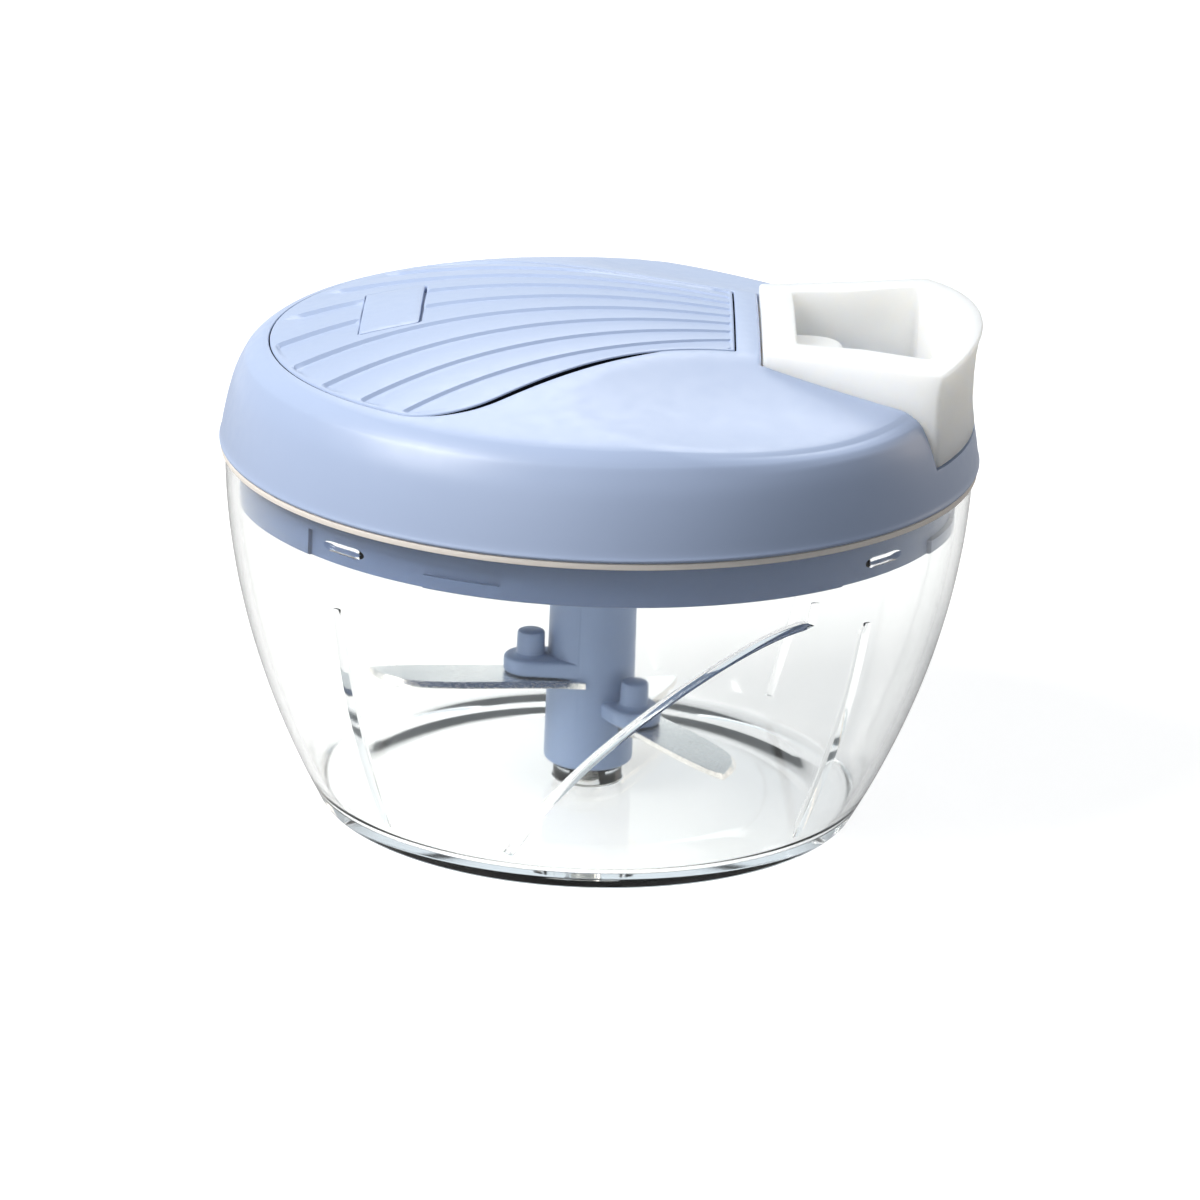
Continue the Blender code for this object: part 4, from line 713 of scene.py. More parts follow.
def cover_z(x, y):
    """Height of the cover's top at a place in plan, out to the shoulder."""
    radius = math.hypot(x, y)
    z = dome_z(x, y) if radius < SIDE_LINE[0][0] else side_z(radius)
    return z - dish_depth(x, y)


def edge_drop(distance, round_radius=EDGE_ROUND):
    left = max(0.0, round_radius - distance)
    return round_radius - math.sqrt(max(0.0, round_radius**2 - left**2))


def edge_loops(outline, steps, direction, z, round_radius):
    """Loops of an outline function that follow a rounded edge, stepped from its foot in a direction."""
    return [draped(outline(direction * step), lambda x, y: z(x, y) - edge_drop(step, round_radius))
            for step in steps]


def well_side_azimuth(radius, distance):
    """Azimuth at which a ring of the cover meets the well's side, moved back from it by distance."""
    gap = (FIT + distance) / math.cos(FLARE)
    azimuth = 25.0
    for _ in range(20):
        x = radius * math.cos(math.radians(azimuth))
        azimuth = math.degrees(math.asin(min(1.0, (flared_half(x) + gap) / radius)))
    return azimuth


def panel_outline(grow=0.0):
    """Plan of the wave panel, counter-clockwise, moved outward by grow."""
    centre = Vector((PANEL_CENTRE_X, 0.0, 0.0))
    turn = (polar(PANEL_RADIUS, PANEL_TURN) + centre).xy
    tangent = polar(1.0, PANEL_TURN + 90.0).xy
    slope = Vector(PANEL_CORNER_SLOPE).normalized()
    corner = Vector(PANEL_CORNER)
    neck_end = (PANEL_NECK_END, -PANEL_NECK_HALF)
    lower = bezier(turn, turn + tangent * 4.0, corner - slope * 6.8, corner, 22)[:-1]
    lower += bezier(corner, corner + slope * 13.0, (4.0, -PANEL_NECK_HALF - 2.3), neck_end, 44)
    near_corner = rounded([(*lower[-2], 0.0), (*neck_end, 1.5), (PANEL_NECK_END, -PANEL_NECK_HALF + 4, 0.0)],
                          closed=False, steps=5)[1:-1]
    lower = [np.array(p) for p in lower[:-1]] + near_corner
    azimuths = np.linspace(360.0 - PANEL_TURN, PANEL_TURN, 130)[:-1]
    left = [np.array((polar(PANEL_RADIUS, a) + centre).xy) for a in azimuths]
    neck = [np.array((PANEL_NECK_END, y)) for y in np.linspace(-16.5, 16.5, 30)]
    loop = left + lower + neck + mirrored(lower)[:-1]
    return offset_loop(loop, grow) if np.any(grow) else np.array(loop)


GAP_X = (-28.5, -25.0, -21.0, -17.0, -13.0, -9.0, -5.0, -1.0, 3.0, 6.0, 9.0)
GAP_WIDTH = (0.16, 0.6, 0.95, 1.1, 1.2, 1.3, 1.35, 1.25, 1.1, 0.85, 0.4)


def groove_widths():
    """Width of the gap round the panel, whose walls carry painted near-black shade: widest along the S-curve.
    """
    loop = panel_outline()
    x, y = loop[:, 0], loop[:, 1]
    width = np.where(x > GAP_X[-1], 0.26, np.interp(x, GAP_X, GAP_WIDTH))
    return np.where((np.abs(y) > 17.0) | (x > GAP_X[-1]), width, GAP_WIDTH[0])


def make_cover():
    bm = bmesh.new()
    # side rings, from the top sheet's edge down to the lower edge
    line = [p for p in SIDE_LINE if p[0] > TOP_RADIUS + 0.05]
    line = [np.array((TOP_RADIUS, side_z(TOP_RADIUS)))] + line
    line += [np.array(p) for p in ((LID_RADIUS, 63.4), (LID_RADIUS - 0.1, 63.2), (64.3, SEAM_Z))]
    floor_radius = float(np.interp(-WELL_FLOOR, -SIDE_LINE[:, 1], SIDE_LINE[:, 0]))
    upper = [p for p in line if p[1] > WELL_FLOOR + 0.15] + [np.array((floor_radius, WELL_FLOOR))]
    lower = [p for p in line if p[1] < WELL_FLOOR - 0.15]
    columns = 300
    taken = len(EDGE_STEPS) - 1

    def ring(radius, z, normal):
        """A ring from one side of the well to the other, rounded over where it meets them."""
        points = []
        taper = min(1.0, max(0.15, (z - WELL_FLOOR) / 3.0))
        starts = [well_side_azimuth(radius, d * taper) for d in EDGE_STEPS]
        azimuths = starts[:-1] + list(np.linspace(starts[-1], 360.0 - starts[-1], columns))
        azimuths += [360.0 - a for a in reversed(starts[:-1])]
        for k, azimuth in enumerate(azimuths):
            near = min(k, len(azimuths) - 1 - k)
            distance = EDGE_STEPS[near] * taper if near < taken else EDGE_ROUND
            drop = edge_drop(distance, EDGE_ROUND * taper)
            point = polar(1.0, azimuth) * (radius - normal[0] * drop)
            dish = dish_depth(point.x, point.y) * clamp((z - 76.0) / 3.0)
            points.append(Vector((point.x, point.y, z - normal[1] * drop - dish)))
        return points

    rings = []
    for k, (radius, z) in enumerate(upper):
        along = upper[min(len(upper) - 1, k + 1)] - upper[max(0, k - 1)]
        normal = np.array((-along[1], along[0])) / np.linalg.norm(along)
        rings.append(ring(radius, z, -normal if normal[0] < 0 else normal))
    add_strips(bm, rings, closed=False)

    # below the well's floor the side runs all the way round
    start = math.degrees(math.atan2(rings[-1][0].y, rings[-1][0].x))
    opening = [polar(floor_radius, a, WELL_FLOOR) for a in np.linspace(-start, start, 46)][1:-1]
    levels = [rings[-1] + opening]
    angles = [math.atan2(p.y, p.x) for p in levels[0]]
    for radius, z in lower:
        levels.append([Vector((radius * math.cos(a), radius * math.sin(a), z)) for a in angles])
    add_strips(bm, levels)
    bm.faces.new([bm.verts.new(p) for p in levels[-1]])

    def well_edge(distance):
        """Edge of the well from the far shoulder to the near one, moved back by distance."""
        far = polar(TOP_RADIUS, well_side_azimuth(TOP_RADIUS, distance))
        inner_x = WELL_INNER_X - distance
        half = flared_half(inner_x) + (FIT + distance) / math.cos(FLARE)
        side = [np.array((far.x, far.y)) * (1 - t) + np.array((inner_x, half)) * t
                for t in np.linspace(0.0, 1.0, 26)]
        across = [np.array((inner_x, y)) for y in np.linspace(half, -half, 36)][1:-1]
        return side + across + mirrored(side)

    # top sheet between the groove, the well and the shoulder
    edges = [well_edge(d) for d in EDGE_STEPS]
    widths = groove_widths()
    groove_round = 0.35
    add_filled(bm, [(p.x, p.y) for p in rings[0][taken:-taken]] + edges[-1][-2:0:-1],
               [panel_outline(widths + groove_round)], 1.7, 0.8, cover_z)
    add_strips(bm, [[(p[0], p[1], cover_z(*p) - edge_drop(step)) for p in edge]
                    for edge, step in zip(edges, EDGE_STEPS)], closed=False)
    loops = edge_loops(lambda step: panel_outline(widths + step), (0.0, 0.06, 0.17, groove_round), 1,
                       cover_z, groove_round)
    pocket_z = lambda x, y: dome_z(x, y) - PANEL_THICKNESS - FIT
    lip = [(x, y, z - 0.15) for x, y, z in loops[0]]
    floor = draped(lip, pocket_z)
    add_strips(bm, loops)
    add_strips(bm, [loops[0], lip])
    # the groove's wall and the pocket's floor take the second material: painted near-black shade in the gap
    add_strips(bm, [lip, floor], look=1)
    add_filled(bm, floor, [], 5.0, 1.5, pocket_z, look=1)

    # walls and floor of the well
    wall = [(p[0], p[1], cover_z(*p) - EDGE_ROUND) for p in edges[0]]
    wall = [r[0] for r in rings[:0:-1]] + wall + [r[-1] for r in rings[1:]]
    foot = raised(wall, WELL_FLOOR)
    add_strips(bm, [wall, foot], closed=False)
    bm.faces.new([bm.verts.new(p) for p in foot + opening])
    return mesh_object("lid_cover_shell", bm, lid_blue, groove_painted_shade, sharp=38.0)


def hollow_cover(cover):
    """Cuts the space for the drive under the cover."""
    skirt, well_wall, above = 2.2, 2.0, 89.0
    inner, outer = 64.3 - skirt, 60.5
    space = lathe([(0.0, 62.2), (inner, 62.2), (inner, PLATE_TOP + FIT), (outer, PLATE_TOP + FIT),
                   (outer, 67.0), (62.2 - skirt, 73.96), (54.6, dome_z(54.6, 0.0) - 4.0), (20.6, 82.65),
                   (0.0, 82.65)], 96)
    tool = mesh_object("hollow", space)
    near_x, far_x = WELL_INNER_X - well_wall, 69.6
    near, far = [flared_half(x) + FIT + well_wall for x in (near_x, far_x)]
    well = [(near_x, near), (near_x, -near), (far_x, -far), (far_x, far)]
    keep = [prism(well, WELL_FLOOR - well_wall, above)]
    keep += [disc(4.0, SCREW_POST_TOP + FIT, above, place) for place in SCREW_PLACES]
    apply_boolean(tool, keep, "DIFFERENCE")
    eyelet_hole = along_cord(disc(2.5, 0.0, 8.0), WELL_INNER_X - 5.0)
    apply_boolean(cover, [tool, eyelet_hole], "DIFFERENCE", sharp=38.0)
    on(cover, "lid", "lid_plastic", "lid_cover")


# Wave panel


def flute_line(x, number):
    """Where the crest line of a number lies at x, and how far it is to the next one."""
    run = max(0.0, PANEL_NECK_END - x) * MM
    width = (4.3 * MM + 0.115 * run + 0.4 * run * run) / MM
    drift = -3.0 * (run / (36.0 * MM)) ** 2.7
    return drift + number * width, width


MARGIN = 0.5
FLUTE_FADE = 1.1
# Across one flute, from its far crest line to its near one: a short fall, then a rise that levels out
FLUTE_SHARES = (0.0, 0.06, 0.1, 0.2, 0.35, 0.5, 0.65, 0.8, 0.9, 1.0)
FLUTE_SHAPE = (0.0, 0.94, 1.0, 0.84, 0.58, 0.37, 0.2, 0.08, 0.02, 0.0)


def fluted_z(x, y, deep):
    """Height of the panel's top with flutes of their full depth, times deep. They are deeper at the neck."""
    base, width = flute_line(x, 0)
    number = (y - base) / width
    shape = float(np.interp(math.ceil(number) - number, FLUTE_SHARES, FLUTE_SHAPE))
    return dome_z(x, y) - (0.044 + 0.026 * clamp((x + 25.0) / 40.0)) * width * shape * deep


def runs(line, keep):
    """The stretches of a line whose points are kept."""
    out, piece = [], []
    for p, k in zip(line, keep):
        if k:
            piece.append(p)
        else:
            out.append(piece)
            piece = []
    return [piece for piece in out + [piece] if len(piece) > 2]


def make_panel():
    bm = bmesh.new()
    top_round = 0.26
    # the plain margin round the flutes is narrower at the neck's end
    margin = MARGIN - 0.12 * np.clip((panel_outline()[:, 0] - 19.5) / 2.0, 0.0, 1.0)
    plain = panel_outline(-margin)
    seat = inset_outline(0.13)
    seat[:, 0] += 0.26 * np.clip((seat[:, 0] + 31.6) / 0.6, 0.0, 1.0)
    seat[:, 0] += 0.08 * np.clip((-40.4 - seat[:, 0]) / 0.6, 0.0, 1.0)
    seat_loop = offset_loop(seat, 0.2)

    def off_seat(points):
        return ~inside(points, seat_loop) & (distance_to(points, seat_loop) > 0.3)

    # the crest and the foot of each fall are edges of the mesh
    cuts = [0.0] + [1.0 - share for share in FLUTE_SHARES[1:-1]]
    pts, lines = [], []
    for number in range(-6, 8):
        for cut in cuts:
            row = np.array([(x, flute_line(x, number + cut)[0]) for x in np.arange(-57.0, 22.5, 1.0)])
            keep = inside(row, plain) & (distance_to(row, plain) > 0.12) & off_seat(row)
            if cut in cuts[:2]:
                lines += runs(row, keep)
            else:
                pts.append(row[keep])
    pts = np.concatenate(pts)
    for step in (0.0, 0.3, 0.6, 0.85, FLUTE_FADE):
        ring = panel_outline(-margin - step)
        pts = pts[distance_to(pts, ring) > 0.18]
        if off_seat(ring).all():
            lines.append(list(ring) + [ring[0]])
    points, faces = triangulated(panel_outline(-top_round), [seat_loop], pts, lines)
    verts = []
    for (x, y), within, far in zip(points, inside(points, plain), distance_to(points, plain)):
        reach = FLUTE_FADE * (1.0 - 0.85 * clamp((x - 16.0) / 3.0))
        reach += 3.5 * clamp((-x - 32.0) / 12.0) * clamp((y + 6.0) / 16.0)
        t = min(1.0, far / reach) if within else 0.0
        verts.append(bm.verts.new((x, y, fluted_z(x, y, t * t * (3 - 2 * t)))))
    for face in faces:
        bm.faces.new([verts[k] for k in face])

    # the edge is a lip over a rebate, deepest along the S-curves
    loops = edge_loops(panel_outline, (0.0, 0.08, top_round), -1, dome_z, top_round)
    undercut = panel_outline(-0.1 - 0.25 * np.clip(groove_widths() - 0.4, 0.0, 1.0))
    side = [[(x, y, dome_z(x, y) - depth) for x, y in outline]
            for outline, depth in ((panel_outline(), 0.25), (undercut, 0.28), (undercut, PANEL_THICKNESS))]
    add_strips(bm, loops)
    add_strips(bm, [loops[0], side[0]])
    # the rebate's walls under the lip take the second material: painted near-black shade
    add_strips(bm, side, look=1)
    add_filled(bm, side[-1], [], 5.0, 1.5, lambda x, y: dome_z(x, y) - PANEL_THICKNESS)

    # the inset plate's seat
    seat_z = lambda x, y: dome_z(x, y) - INSET_DEPTH - FIT
    lip = draped(offset_loop(seat, 0.05), lambda x, y: fluted_z(x, y, 1.0) - 0.1)
    add_strips(bm, [draped(seat_loop, lambda x, y: fluted_z(x, y, 1.0)), lip, draped(seat, seat_z)])
    add_filled(bm, seat, [], 3.0, 1.0, seat_z)
    panel = mesh_object("wave_panel", bm, panel_blue, groove_painted_shade, sharp=24.0)
    on(panel, "lid", "panel_plastic", "top_panel")


def inset_outline(grow=0.0):
    corners = [(-41.0, -9.8, 0.5), (-31.0, -7.0, 1.6), (-31.0, 19.0, 1.0), (-41.0, 15.6, 0.8)]
    loop = subdivided(rounded(corners, steps=6), lambda length: max(1, int(length / 1.2)))
    return offset_loop(loop, grow) if grow else np.array(loop)


def make_inset():
    bm = bmesh.new()
    edge = 0.3
    under_z = lambda x, y: dome_z(x, y) - INSET_DEPTH
    loops = edge_loops(inset_outline, (0.0, 0.09, edge), -1, dome_z, edge)
    low = draped(loops[0], under_z)
    add_strips(bm, loops)
    add_filled(bm, loops[-1], [], 1.5, 0.6, dome_z)
    add_strips(bm, [loops[0], low])
    add_filled(bm, low, [], 3.0, 1.0, under_z)
    on(mesh_object("inset_plate", bm, panel_blue), "lid", "panel_plastic", "panel_inset")


# Lid base and seal


def make_base():
    inner = SKIRT_RADIUS - 2.0
    bottom = PLATE_BOTTOM - 8.3
    band, band_top = BOWL_MOUTH - BOWL_WALL - 0.6, PLATE_BOTTOM - 1.5
    profile = [(7.3, PLATE_BOTTOM, 0.0), (9.1, PLATE_BOTTOM, 0.3), (9.1, PLATE_BOTTOM - 6.7, 0.3),
               (10.7, PLATE_BOTTOM - 6.7, 0.4), (10.7, PLATE_BOTTOM, 0.8), (inner, PLATE_BOTTOM, 0.8),
               (inner, bottom, 0.5), (band, bottom, 0.4), (band, band_top, 0.3), (SKIRT_RADIUS, band_top, 0.2),
               (SKIRT_RADIUS, PLATE_BOTTOM, 0.3), (PLATE_RADIUS, PLATE_BOTTOM, 0.3),
               (PLATE_RADIUS, PLATE_TOP, 0.3), (21.9, PLATE_TOP, 0.0), (21.9, 70.5, 0.3), (20.1, 70.5, 0.3),
               (20.1, PLATE_TOP, 0.0), (7.3, PLATE_TOP, 0.0)]
    # the base plate takes the darkened copy of the lid's blue: painted shade
    base = mesh_object("lid_base_plate", lathe(rounded(profile), LATHE_SEGMENTS), base_blue_painted_shade)
    # the bayonet's channels: each lug rises through the deep one and turns into the other
    channels = []
    for k in range(4):
        for start, end, low in ((-49.3, -26.6, bottom - 1.0), (-27.0, -14.2, bottom + 2.3)):
            arc = [polar(LUG_RADIUS - FIT, a + 90.0 * k) for a in np.linspace(start, end, 21)]
            arc += [polar(band + 1.0, a + 90.0 * k) for a in np.linspace(end, start, 21)]
            channels.append(prism(arc, low, bottom + 4.6))
    apply_boolean(base, channels, "DIFFERENCE")
    rib = [(21.1, -0.7), (59.8, -0.7), (59.8, 0.7), (21.1, 0.7)]
    extras = [turned_by(prism(rib, PLATE_TOP - 0.8, PLATE_TOP + 2.0), 30.0 * (k + 0.5)) for k in range(12)]
    extras += [disc(3.5, PLATE_TOP - 0.8, SCREW_POST_TOP, place) for place in SCREW_PLACES]
    apply_boolean(base, extras, "UNION")
    on(base, "lid", "lid_plastic", "lid_base")


def make_seal():
    """A ring between skirt and bowl, with a flange whose outer lip hangs over the bowl's rim."""
    inner, outer = SKIRT_RADIUS + FIT, BOWL_MOUTH - BOWL_WALL - 0.4
    top, flange = PLATE_BOTTOM - 0.04, BOWL_HEIGHT + 0.04
    low, lip = PLATE_BOTTOM - 1.27, PLATE_BOTTOM - 1.0
    rim = BOWL_MOUTH + 0.45
    section = [(inner, low, 0.1), (outer - 0.2, low, 0.2), (outer, low + 0.27, 0.15), (outer, flange, 0.05),
               (rim, flange, 0.05), (rim, lip, 0.05), (rim + 0.27, lip, 0.1), (rim + 0.27, top, 0.12),
               (inner, top, 0.1)]
    seal = mesh_object("seal_lip", lathe(rounded(section), LATHE_SEGMENTS), silicone)
    on(seal, "seal", "silicone", "seal_ring")


# Pull handle


HANDLE_END = ((0.0, 63.3, 55.8), (0.25, 62.8, 55.5), (0.55, 62.8, 55.4), (0.75, 63.0, 55.5), (0.9, 63.4, 55.8),
              (1.0, 63.8, 56.0))
HANDLE_EDGE = 0.5
HOLE_EDGE = 0.45
EDGE_CURVE = ((0.0, 1.0), (0.12, 0.5), (0.5, 0.12), (1.0, 0.0))


def crown_z(x, y):
    """Top of the handle, which falls to its sides and lifts a little towards its outer end."""
    run = max(0.0, (x - HANDLE_INNER_X) / (HANDLE_OUTER_X - HANDLE_INNER_X))
    return APEX_Z - 0.5 - 0.0016 * y * y + 0.5 * run * run


def handle_ring(share, rise, inset):
    """One ring of the handle, as in the part's source but with more points and round upright edges."""
    shares, middles, corners = zip(*HANDLE_END)
    middle = float(np.interp(share, shares, middles)) - inset
    corner = float(np.interp(share, shares, corners)) - 0.6 * inset
    half = flared_half(corner) - inset
    radius = ((middle - corner) ** 2 + half**2) / (2 * (middle - corner))
    swing = math.degrees(math.asin(half / radius))
    inner_x = HANDLE_INNER_X + inset
    inner_half = flared_half(inner_x) - inset
    far = [(middle - radius + radius * math.cos(a), radius * math.sin(a))
           for a in np.radians(np.linspace(-swing, swing, 33))]
    edge = max(0.25, 1.0 - inset)
    loop = [(inner_x, inner_half, edge), (inner_x, -inner_half, edge), (*far[0], edge)]
    loop += [(*p, 0.0) for p in far[1:-1]] + [(*far[-1], edge)]
    dense = subdivided(rounded(loop, steps=5), lambda length: 24 if length > 12.0 else 1)
    return [(p[0], p[1], HANDLE_BOTTOM + (crown_z(*p) - HANDLE_BOTTOM) * share + rise) for p in dense]


def hole_loop(grow):
    inner_x, outer_x, turn = 32.2 - grow, 54.4 + grow, 1.0 + grow
    corners = [(inner_x, -15.8 - grow, turn), (43.0, -17.8 - grow, 12.0), (outer_x, -22.6 - grow, turn)]
    corners += [(x, -y, radius) for x, y, radius in reversed(corners)]
    return subdivided(rounded(corners, steps=7), lambda length: 16 if length > 8.0 else 1)


def make_handle():
    bm = bmesh.new()
    levels = [(0.0, rise * HANDLE_EDGE, inset * HANDLE_EDGE) for rise, inset in EDGE_CURVE]
    levels += [(share, 0.0, 0.0) for share in (0.12, 0.25, 0.4, 0.55, 0.65, 0.75, 0.83, 0.9)]
    levels += [(1.0, -drop * HANDLE_EDGE, inset * HANDLE_EDGE) for inset, drop in EDGE_CURVE]
    rings = [handle_ring(*level) for level in levels]
    hole_levels = [(hole_loop(grow * HOLE_EDGE), drop * HOLE_EDGE) for drop, grow in EDGE_CURVE]
    top_hole = [draped(loop, lambda x, y: crown_z(x, y) - drop) for loop, drop in hole_levels]
    low_hole = [raised(loop, HANDLE_BOTTOM + drop) for loop, drop in hole_levels]
    for loops in (rings, top_hole, low_hole, [top_hole[-1], low_hole[-1]]):
        add_strips(bm, loops)
    add_filled(bm, rings[-1], [top_hole[0]], 1.8, 0.8, crown_z)
    add_filled(bm, rings[0], [low_hole[0]], 1.8, 0.8, lambda x, y: HANDLE_BOTTOM)
    handle = mesh_object("pull_loop", bm, handle_white, sharp=35.0)
    # housing of the cord's knot on the inner bar
    housing = []
    for z, inset in ((HANDLE_BOTTOM + 0.2, 0.3), (HANDLE_BOTTOM + 0.5, 0.0), (81.1, 0.0), (81.6, 0.15),
                     (81.92, 0.45), (82.02, 0.9)):
        half = 5.5 - inset
        outline = [(31.0, half), (31.0, -half)] + arc_places(half, -90.0, 90.0, 25, (35.1, 0.0))
        housing.append(raised(outline, z))
    apply_boolean(handle, [loft(housing)], "UNION", sharp=35.0)
    bore = along_cord(disc(1.35, 0.0, 10.4, segments=32), HANDLE_INNER_X - 0.8)
    pocket = disc(2.9, HANDLE_BOTTOM - 0.8, CORD_Z + 2.9, (KNOT_X, 0.0))
    apply_boolean(handle, [bore, pocket], "DIFFERENCE", sharp=35.0)
    on(handle, "handle", "white_plastic", "pull_handle")


# Hub and knives


def make_hub():
    bottom, top = 6.3, 58.8
    profile = [(0.0, 19.3, 0.0), (2.3, 19.3, 0.0), (2.3, bottom, 0.3), (7.7, bottom, 0.7), (7.3, top, 0.6),
               (5.6, top, 0.3), (5.6, top - 12.0, 0.0), (0.0, top - 12.0, 0.0)]
    hub = mesh_object("knife_hub", lathe(rounded(profile, closed=False), 96, closed=False), hub_blue)
    extras, bores = [], []
    for k, (_, azimuth) in enumerate(KNIVES):
        low = KNIFE_TOP_LEVEL - KNIFE_STEP * k + 1.3
        high = low + 2.7
        arm = []
        for z, inset in ((low, 0.25), (low + 0.25, 0.0), (high - 0.6, 0.0), (high - 0.3, 0.1),
                         (high - 0.1, 0.3), (high, 0.7)):
            r = 4.6 - inset
            arm.append(raised([(-0.5, -2.7 - r)] + arc_places(r, 270, 90, 33, PEG_PLACE)
                              + [(-2.8, -2.7 + r), (-2.8, -3.6)], z))
        peg = [raised(arc_places(r, 0, 360, 33, PEG_PLACE)[:-1], high + rise) for rise, r in (
            (-0.8, 3.1), (0.0, 3.1), (0.12, 2.75), (0.45, 2.45), (4.0, 2.35), (4.25, 2.2), (4.4, 1.9))]
        extras += [turned_by(loft(shape), azimuth - 180.0) for shape in (arm, peg)]
        bores.append(turned_by(disc(PEG_BORE, low - 2.0, high + 3.5, PEG_PLACE, 28), azimuth - 180.0))
    for middle in (90.0, 270.0):
        arc = arc_places(6.4, middle - 29, middle + 29, 10) + arc_places(3.3, middle + 29, middle - 29, 10)
        extras.append(prism(arc, top - 12.8, top - 2.5))
    apply_boolean(hub, extras, "UNION")
    apply_boolean(hub, bores, "DIFFERENCE")
    on(hub, "blades", "hub_plastic", "blade_hub")


def make_knives():
    inner_radius = 8.0
    edge = bezier((-0.8, -8.6), (-9.97, -8.6), (-18.33, -11.0), (-27.5, -11.0), 22)
    edge += bezier((-27.5, -11.0), (-33.5, -11.0), (-36.5, -7.5), (-38.3, -4.1), 18)[1:]
    back = bezier((-38.3, -4.1), (-34.3, -1.8), (-17.6, -0.9), (-inner_radius, 0.0), 18)[1:-1]
    rim = arc_places(inner_radius, 180.0, 264.0, 17)
    fades = [min(1.0, j / 4, (len(edge) - 1 - j) / 5) for j in range(len(edge))]
    for k, (name, azimuth) in enumerate(KNIVES):
        bottom = KNIFE_TOP_LEVEL - KNIFE_STEP * k
        rows = []
        for z, grind, lift in ((0.0, 0.12, 0.06), (0.1, 0.0, 0.0), (0.28, 0.1, 0.0), (0.96, 0.8, 0.0),
                               (1.0, 0.9, 0.06)):
            outline = [(x, y + grind * fade) for (x, y), fade in zip(edge, fades)]
            outline += [(x, y - lift) for x, y in back]
            rows.append(raised(outline + rim, bottom + z))
        blade = mesh_object(f"knife_{name}", turned_by(loft(rows), azimuth - 180.0), knife_steel, sharp=12.0)
        hole = turned_by(disc(PEG_BORE, bottom - 5, bottom + 5, PEG_PLACE, 28), azimuth - 180.0)
        apply_boolean(blade, [hole], "DIFFERENCE", sharp=12.0)
        on(blade, "blades", "blade_steel", f"blade_{name}")


# Cord


def braid_tube(name, path, sides):
    """A cord along a path: a round core whose surface rises and falls in two crossing sets of strands."""
    pts = np.array(path, float)
    ahead = np.gradient(pts, axis=0)
    ahead /= np.linalg.norm(ahead, axis=1)[:, None]
    length = np.concatenate([[0.0], np.cumsum(np.linalg.norm(np.diff(pts, axis=0), axis=1))])
    strands, pitch = 8, 3.2
    loops = []
    for p, t, s in zip(pts, ahead, length):
        across = np.cross((0.0, 0.0, 1.0), t)
        across /= np.linalg.norm(across)
        over = np.cross(t, across)
        turn = 2 * math.pi * s / (pitch * strands / 2)
        loop = []
        for k in range(sides):
            a = 2 * math.pi * k / sides
            lift = max(math.cos(strands / 2 * (a + turn)), math.cos(strands / 2 * (a - turn)))
            r = CORD_RADIUS * (0.93 + 0.07 * lift)
            loop.append(p + (across * math.cos(a) + over * math.sin(a)) * r)
        loops.append(loop)
    return mesh_object(name, loft(loops), cord_white, sharp=60.0)


def make_cord():
    bend_x = EYELET_FACE_X + 0.9
    bend = Vector((bend_x, 0.0, CORD_Z))
    leave = -math.degrees(math.acos(WINDING_RADIUS / bend_x))
    gap = math.degrees(FIT / 2 / WINDING_RADIUS)
    turns, pitch = 3, 2.25
    path = []
    for k in range(turns * 120 + 1):
        left = 1 - k / (turns * 120)
        path.append(polar(WINDING_RADIUS, leave - gap - 360.0 * turns * left, CORD_Z + turns * pitch * left))
    on(braid_tube("cord_turns", path, 16), "reel", "cord", "cord_winding")
    start = polar(WINDING_RADIUS, leave, CORD_Z)
    along = (bend - start).normalized()
    first = start + along * (FIT / 2)
    curve_start, curve_end = bend - along * 2.6, bend + Vector((2.6, 0.0, 0.0))
    lead = [first.lerp(curve_start, t) for t in np.linspace(0.0, 1.0, 30)][:-1]
    lead += [curve_start * (1 - t) ** 2 + bend * 2 * t * (1 - t) + curve_end * t * t
             for t in np.linspace(0, 1, 20)]
    knot_start = Vector((KNOT_X - 2.0 - FIT, 0.0, CORD_Z))
    lead += [curve_end.lerp(knot_start, t) for t in np.linspace(0.0, 1.0, 90)][1:]
    cord = braid_tube("cord_pull", lead, 24)
    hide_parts("cord_lead")
    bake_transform(cord)


def make_knot():
    """A short overhand: one thick turn round the cord's end."""
    steps, sides = 60, 16
    turn_radius, sway = 0.95, 0.55
    outward = Vector((1.0, 0.0, 0.0))
    bm = bmesh.new()
    rings = []
    for k in range(steps):
        a = 2 * math.pi * k / steps
        centre = Vector((KNOT_X + sway * math.sin(2 * a), turn_radius * math.cos(a),
                         CORD_Z + turn_radius * math.sin(a)))
        radial = Vector((0.0, math.cos(a), math.sin(a)))
        rings.append([bm.verts.new(centre + (radial * math.cos(b) + outward * math.sin(b)) * CORD_RADIUS)
                      for b in np.linspace(0, 2 * math.pi, sides + 1)[:-1]])
    for ring, after in zip(rings, rings[1:] + rings[:1]):
        for j in range(sides):
            bm.faces.new((ring[j], ring[(j + 1) % sides], after[(j + 1) % sides], after[j]))
    on(mesh_object("cord_end_knot", bm, cord_white, sharp=60.0), "handle", "cord", "cord_knot")


def make_eyelet():
    face, back, end = EYELET_FACE_X, EYELET_FACE_X + 1.3, WELL_INNER_X - FIT
    section = [(3.9, face, 0.3), (3.9, back, 0.2), (2.2, back, 0.1), (2.2, end, 0.15), (1.35, end, 0.15),
               (1.35, back + 0.5, 0.5), (1.75, face + 0.8, 0.5), (2.85, face, 0.4)]
    ring = mesh_object("eyelet_ring", along_cord(lathe(rounded(section), 64), 0.0), plated_steel)
    on(ring, "lid", "steel", "cord_eyelet")


make_bowl()
hollow_cover(make_cover())
make_panel()
make_inset()
make_base()
make_seal()
make_handle()
make_hub()
make_knives()
make_cord()
make_knot()
make_eyelet()

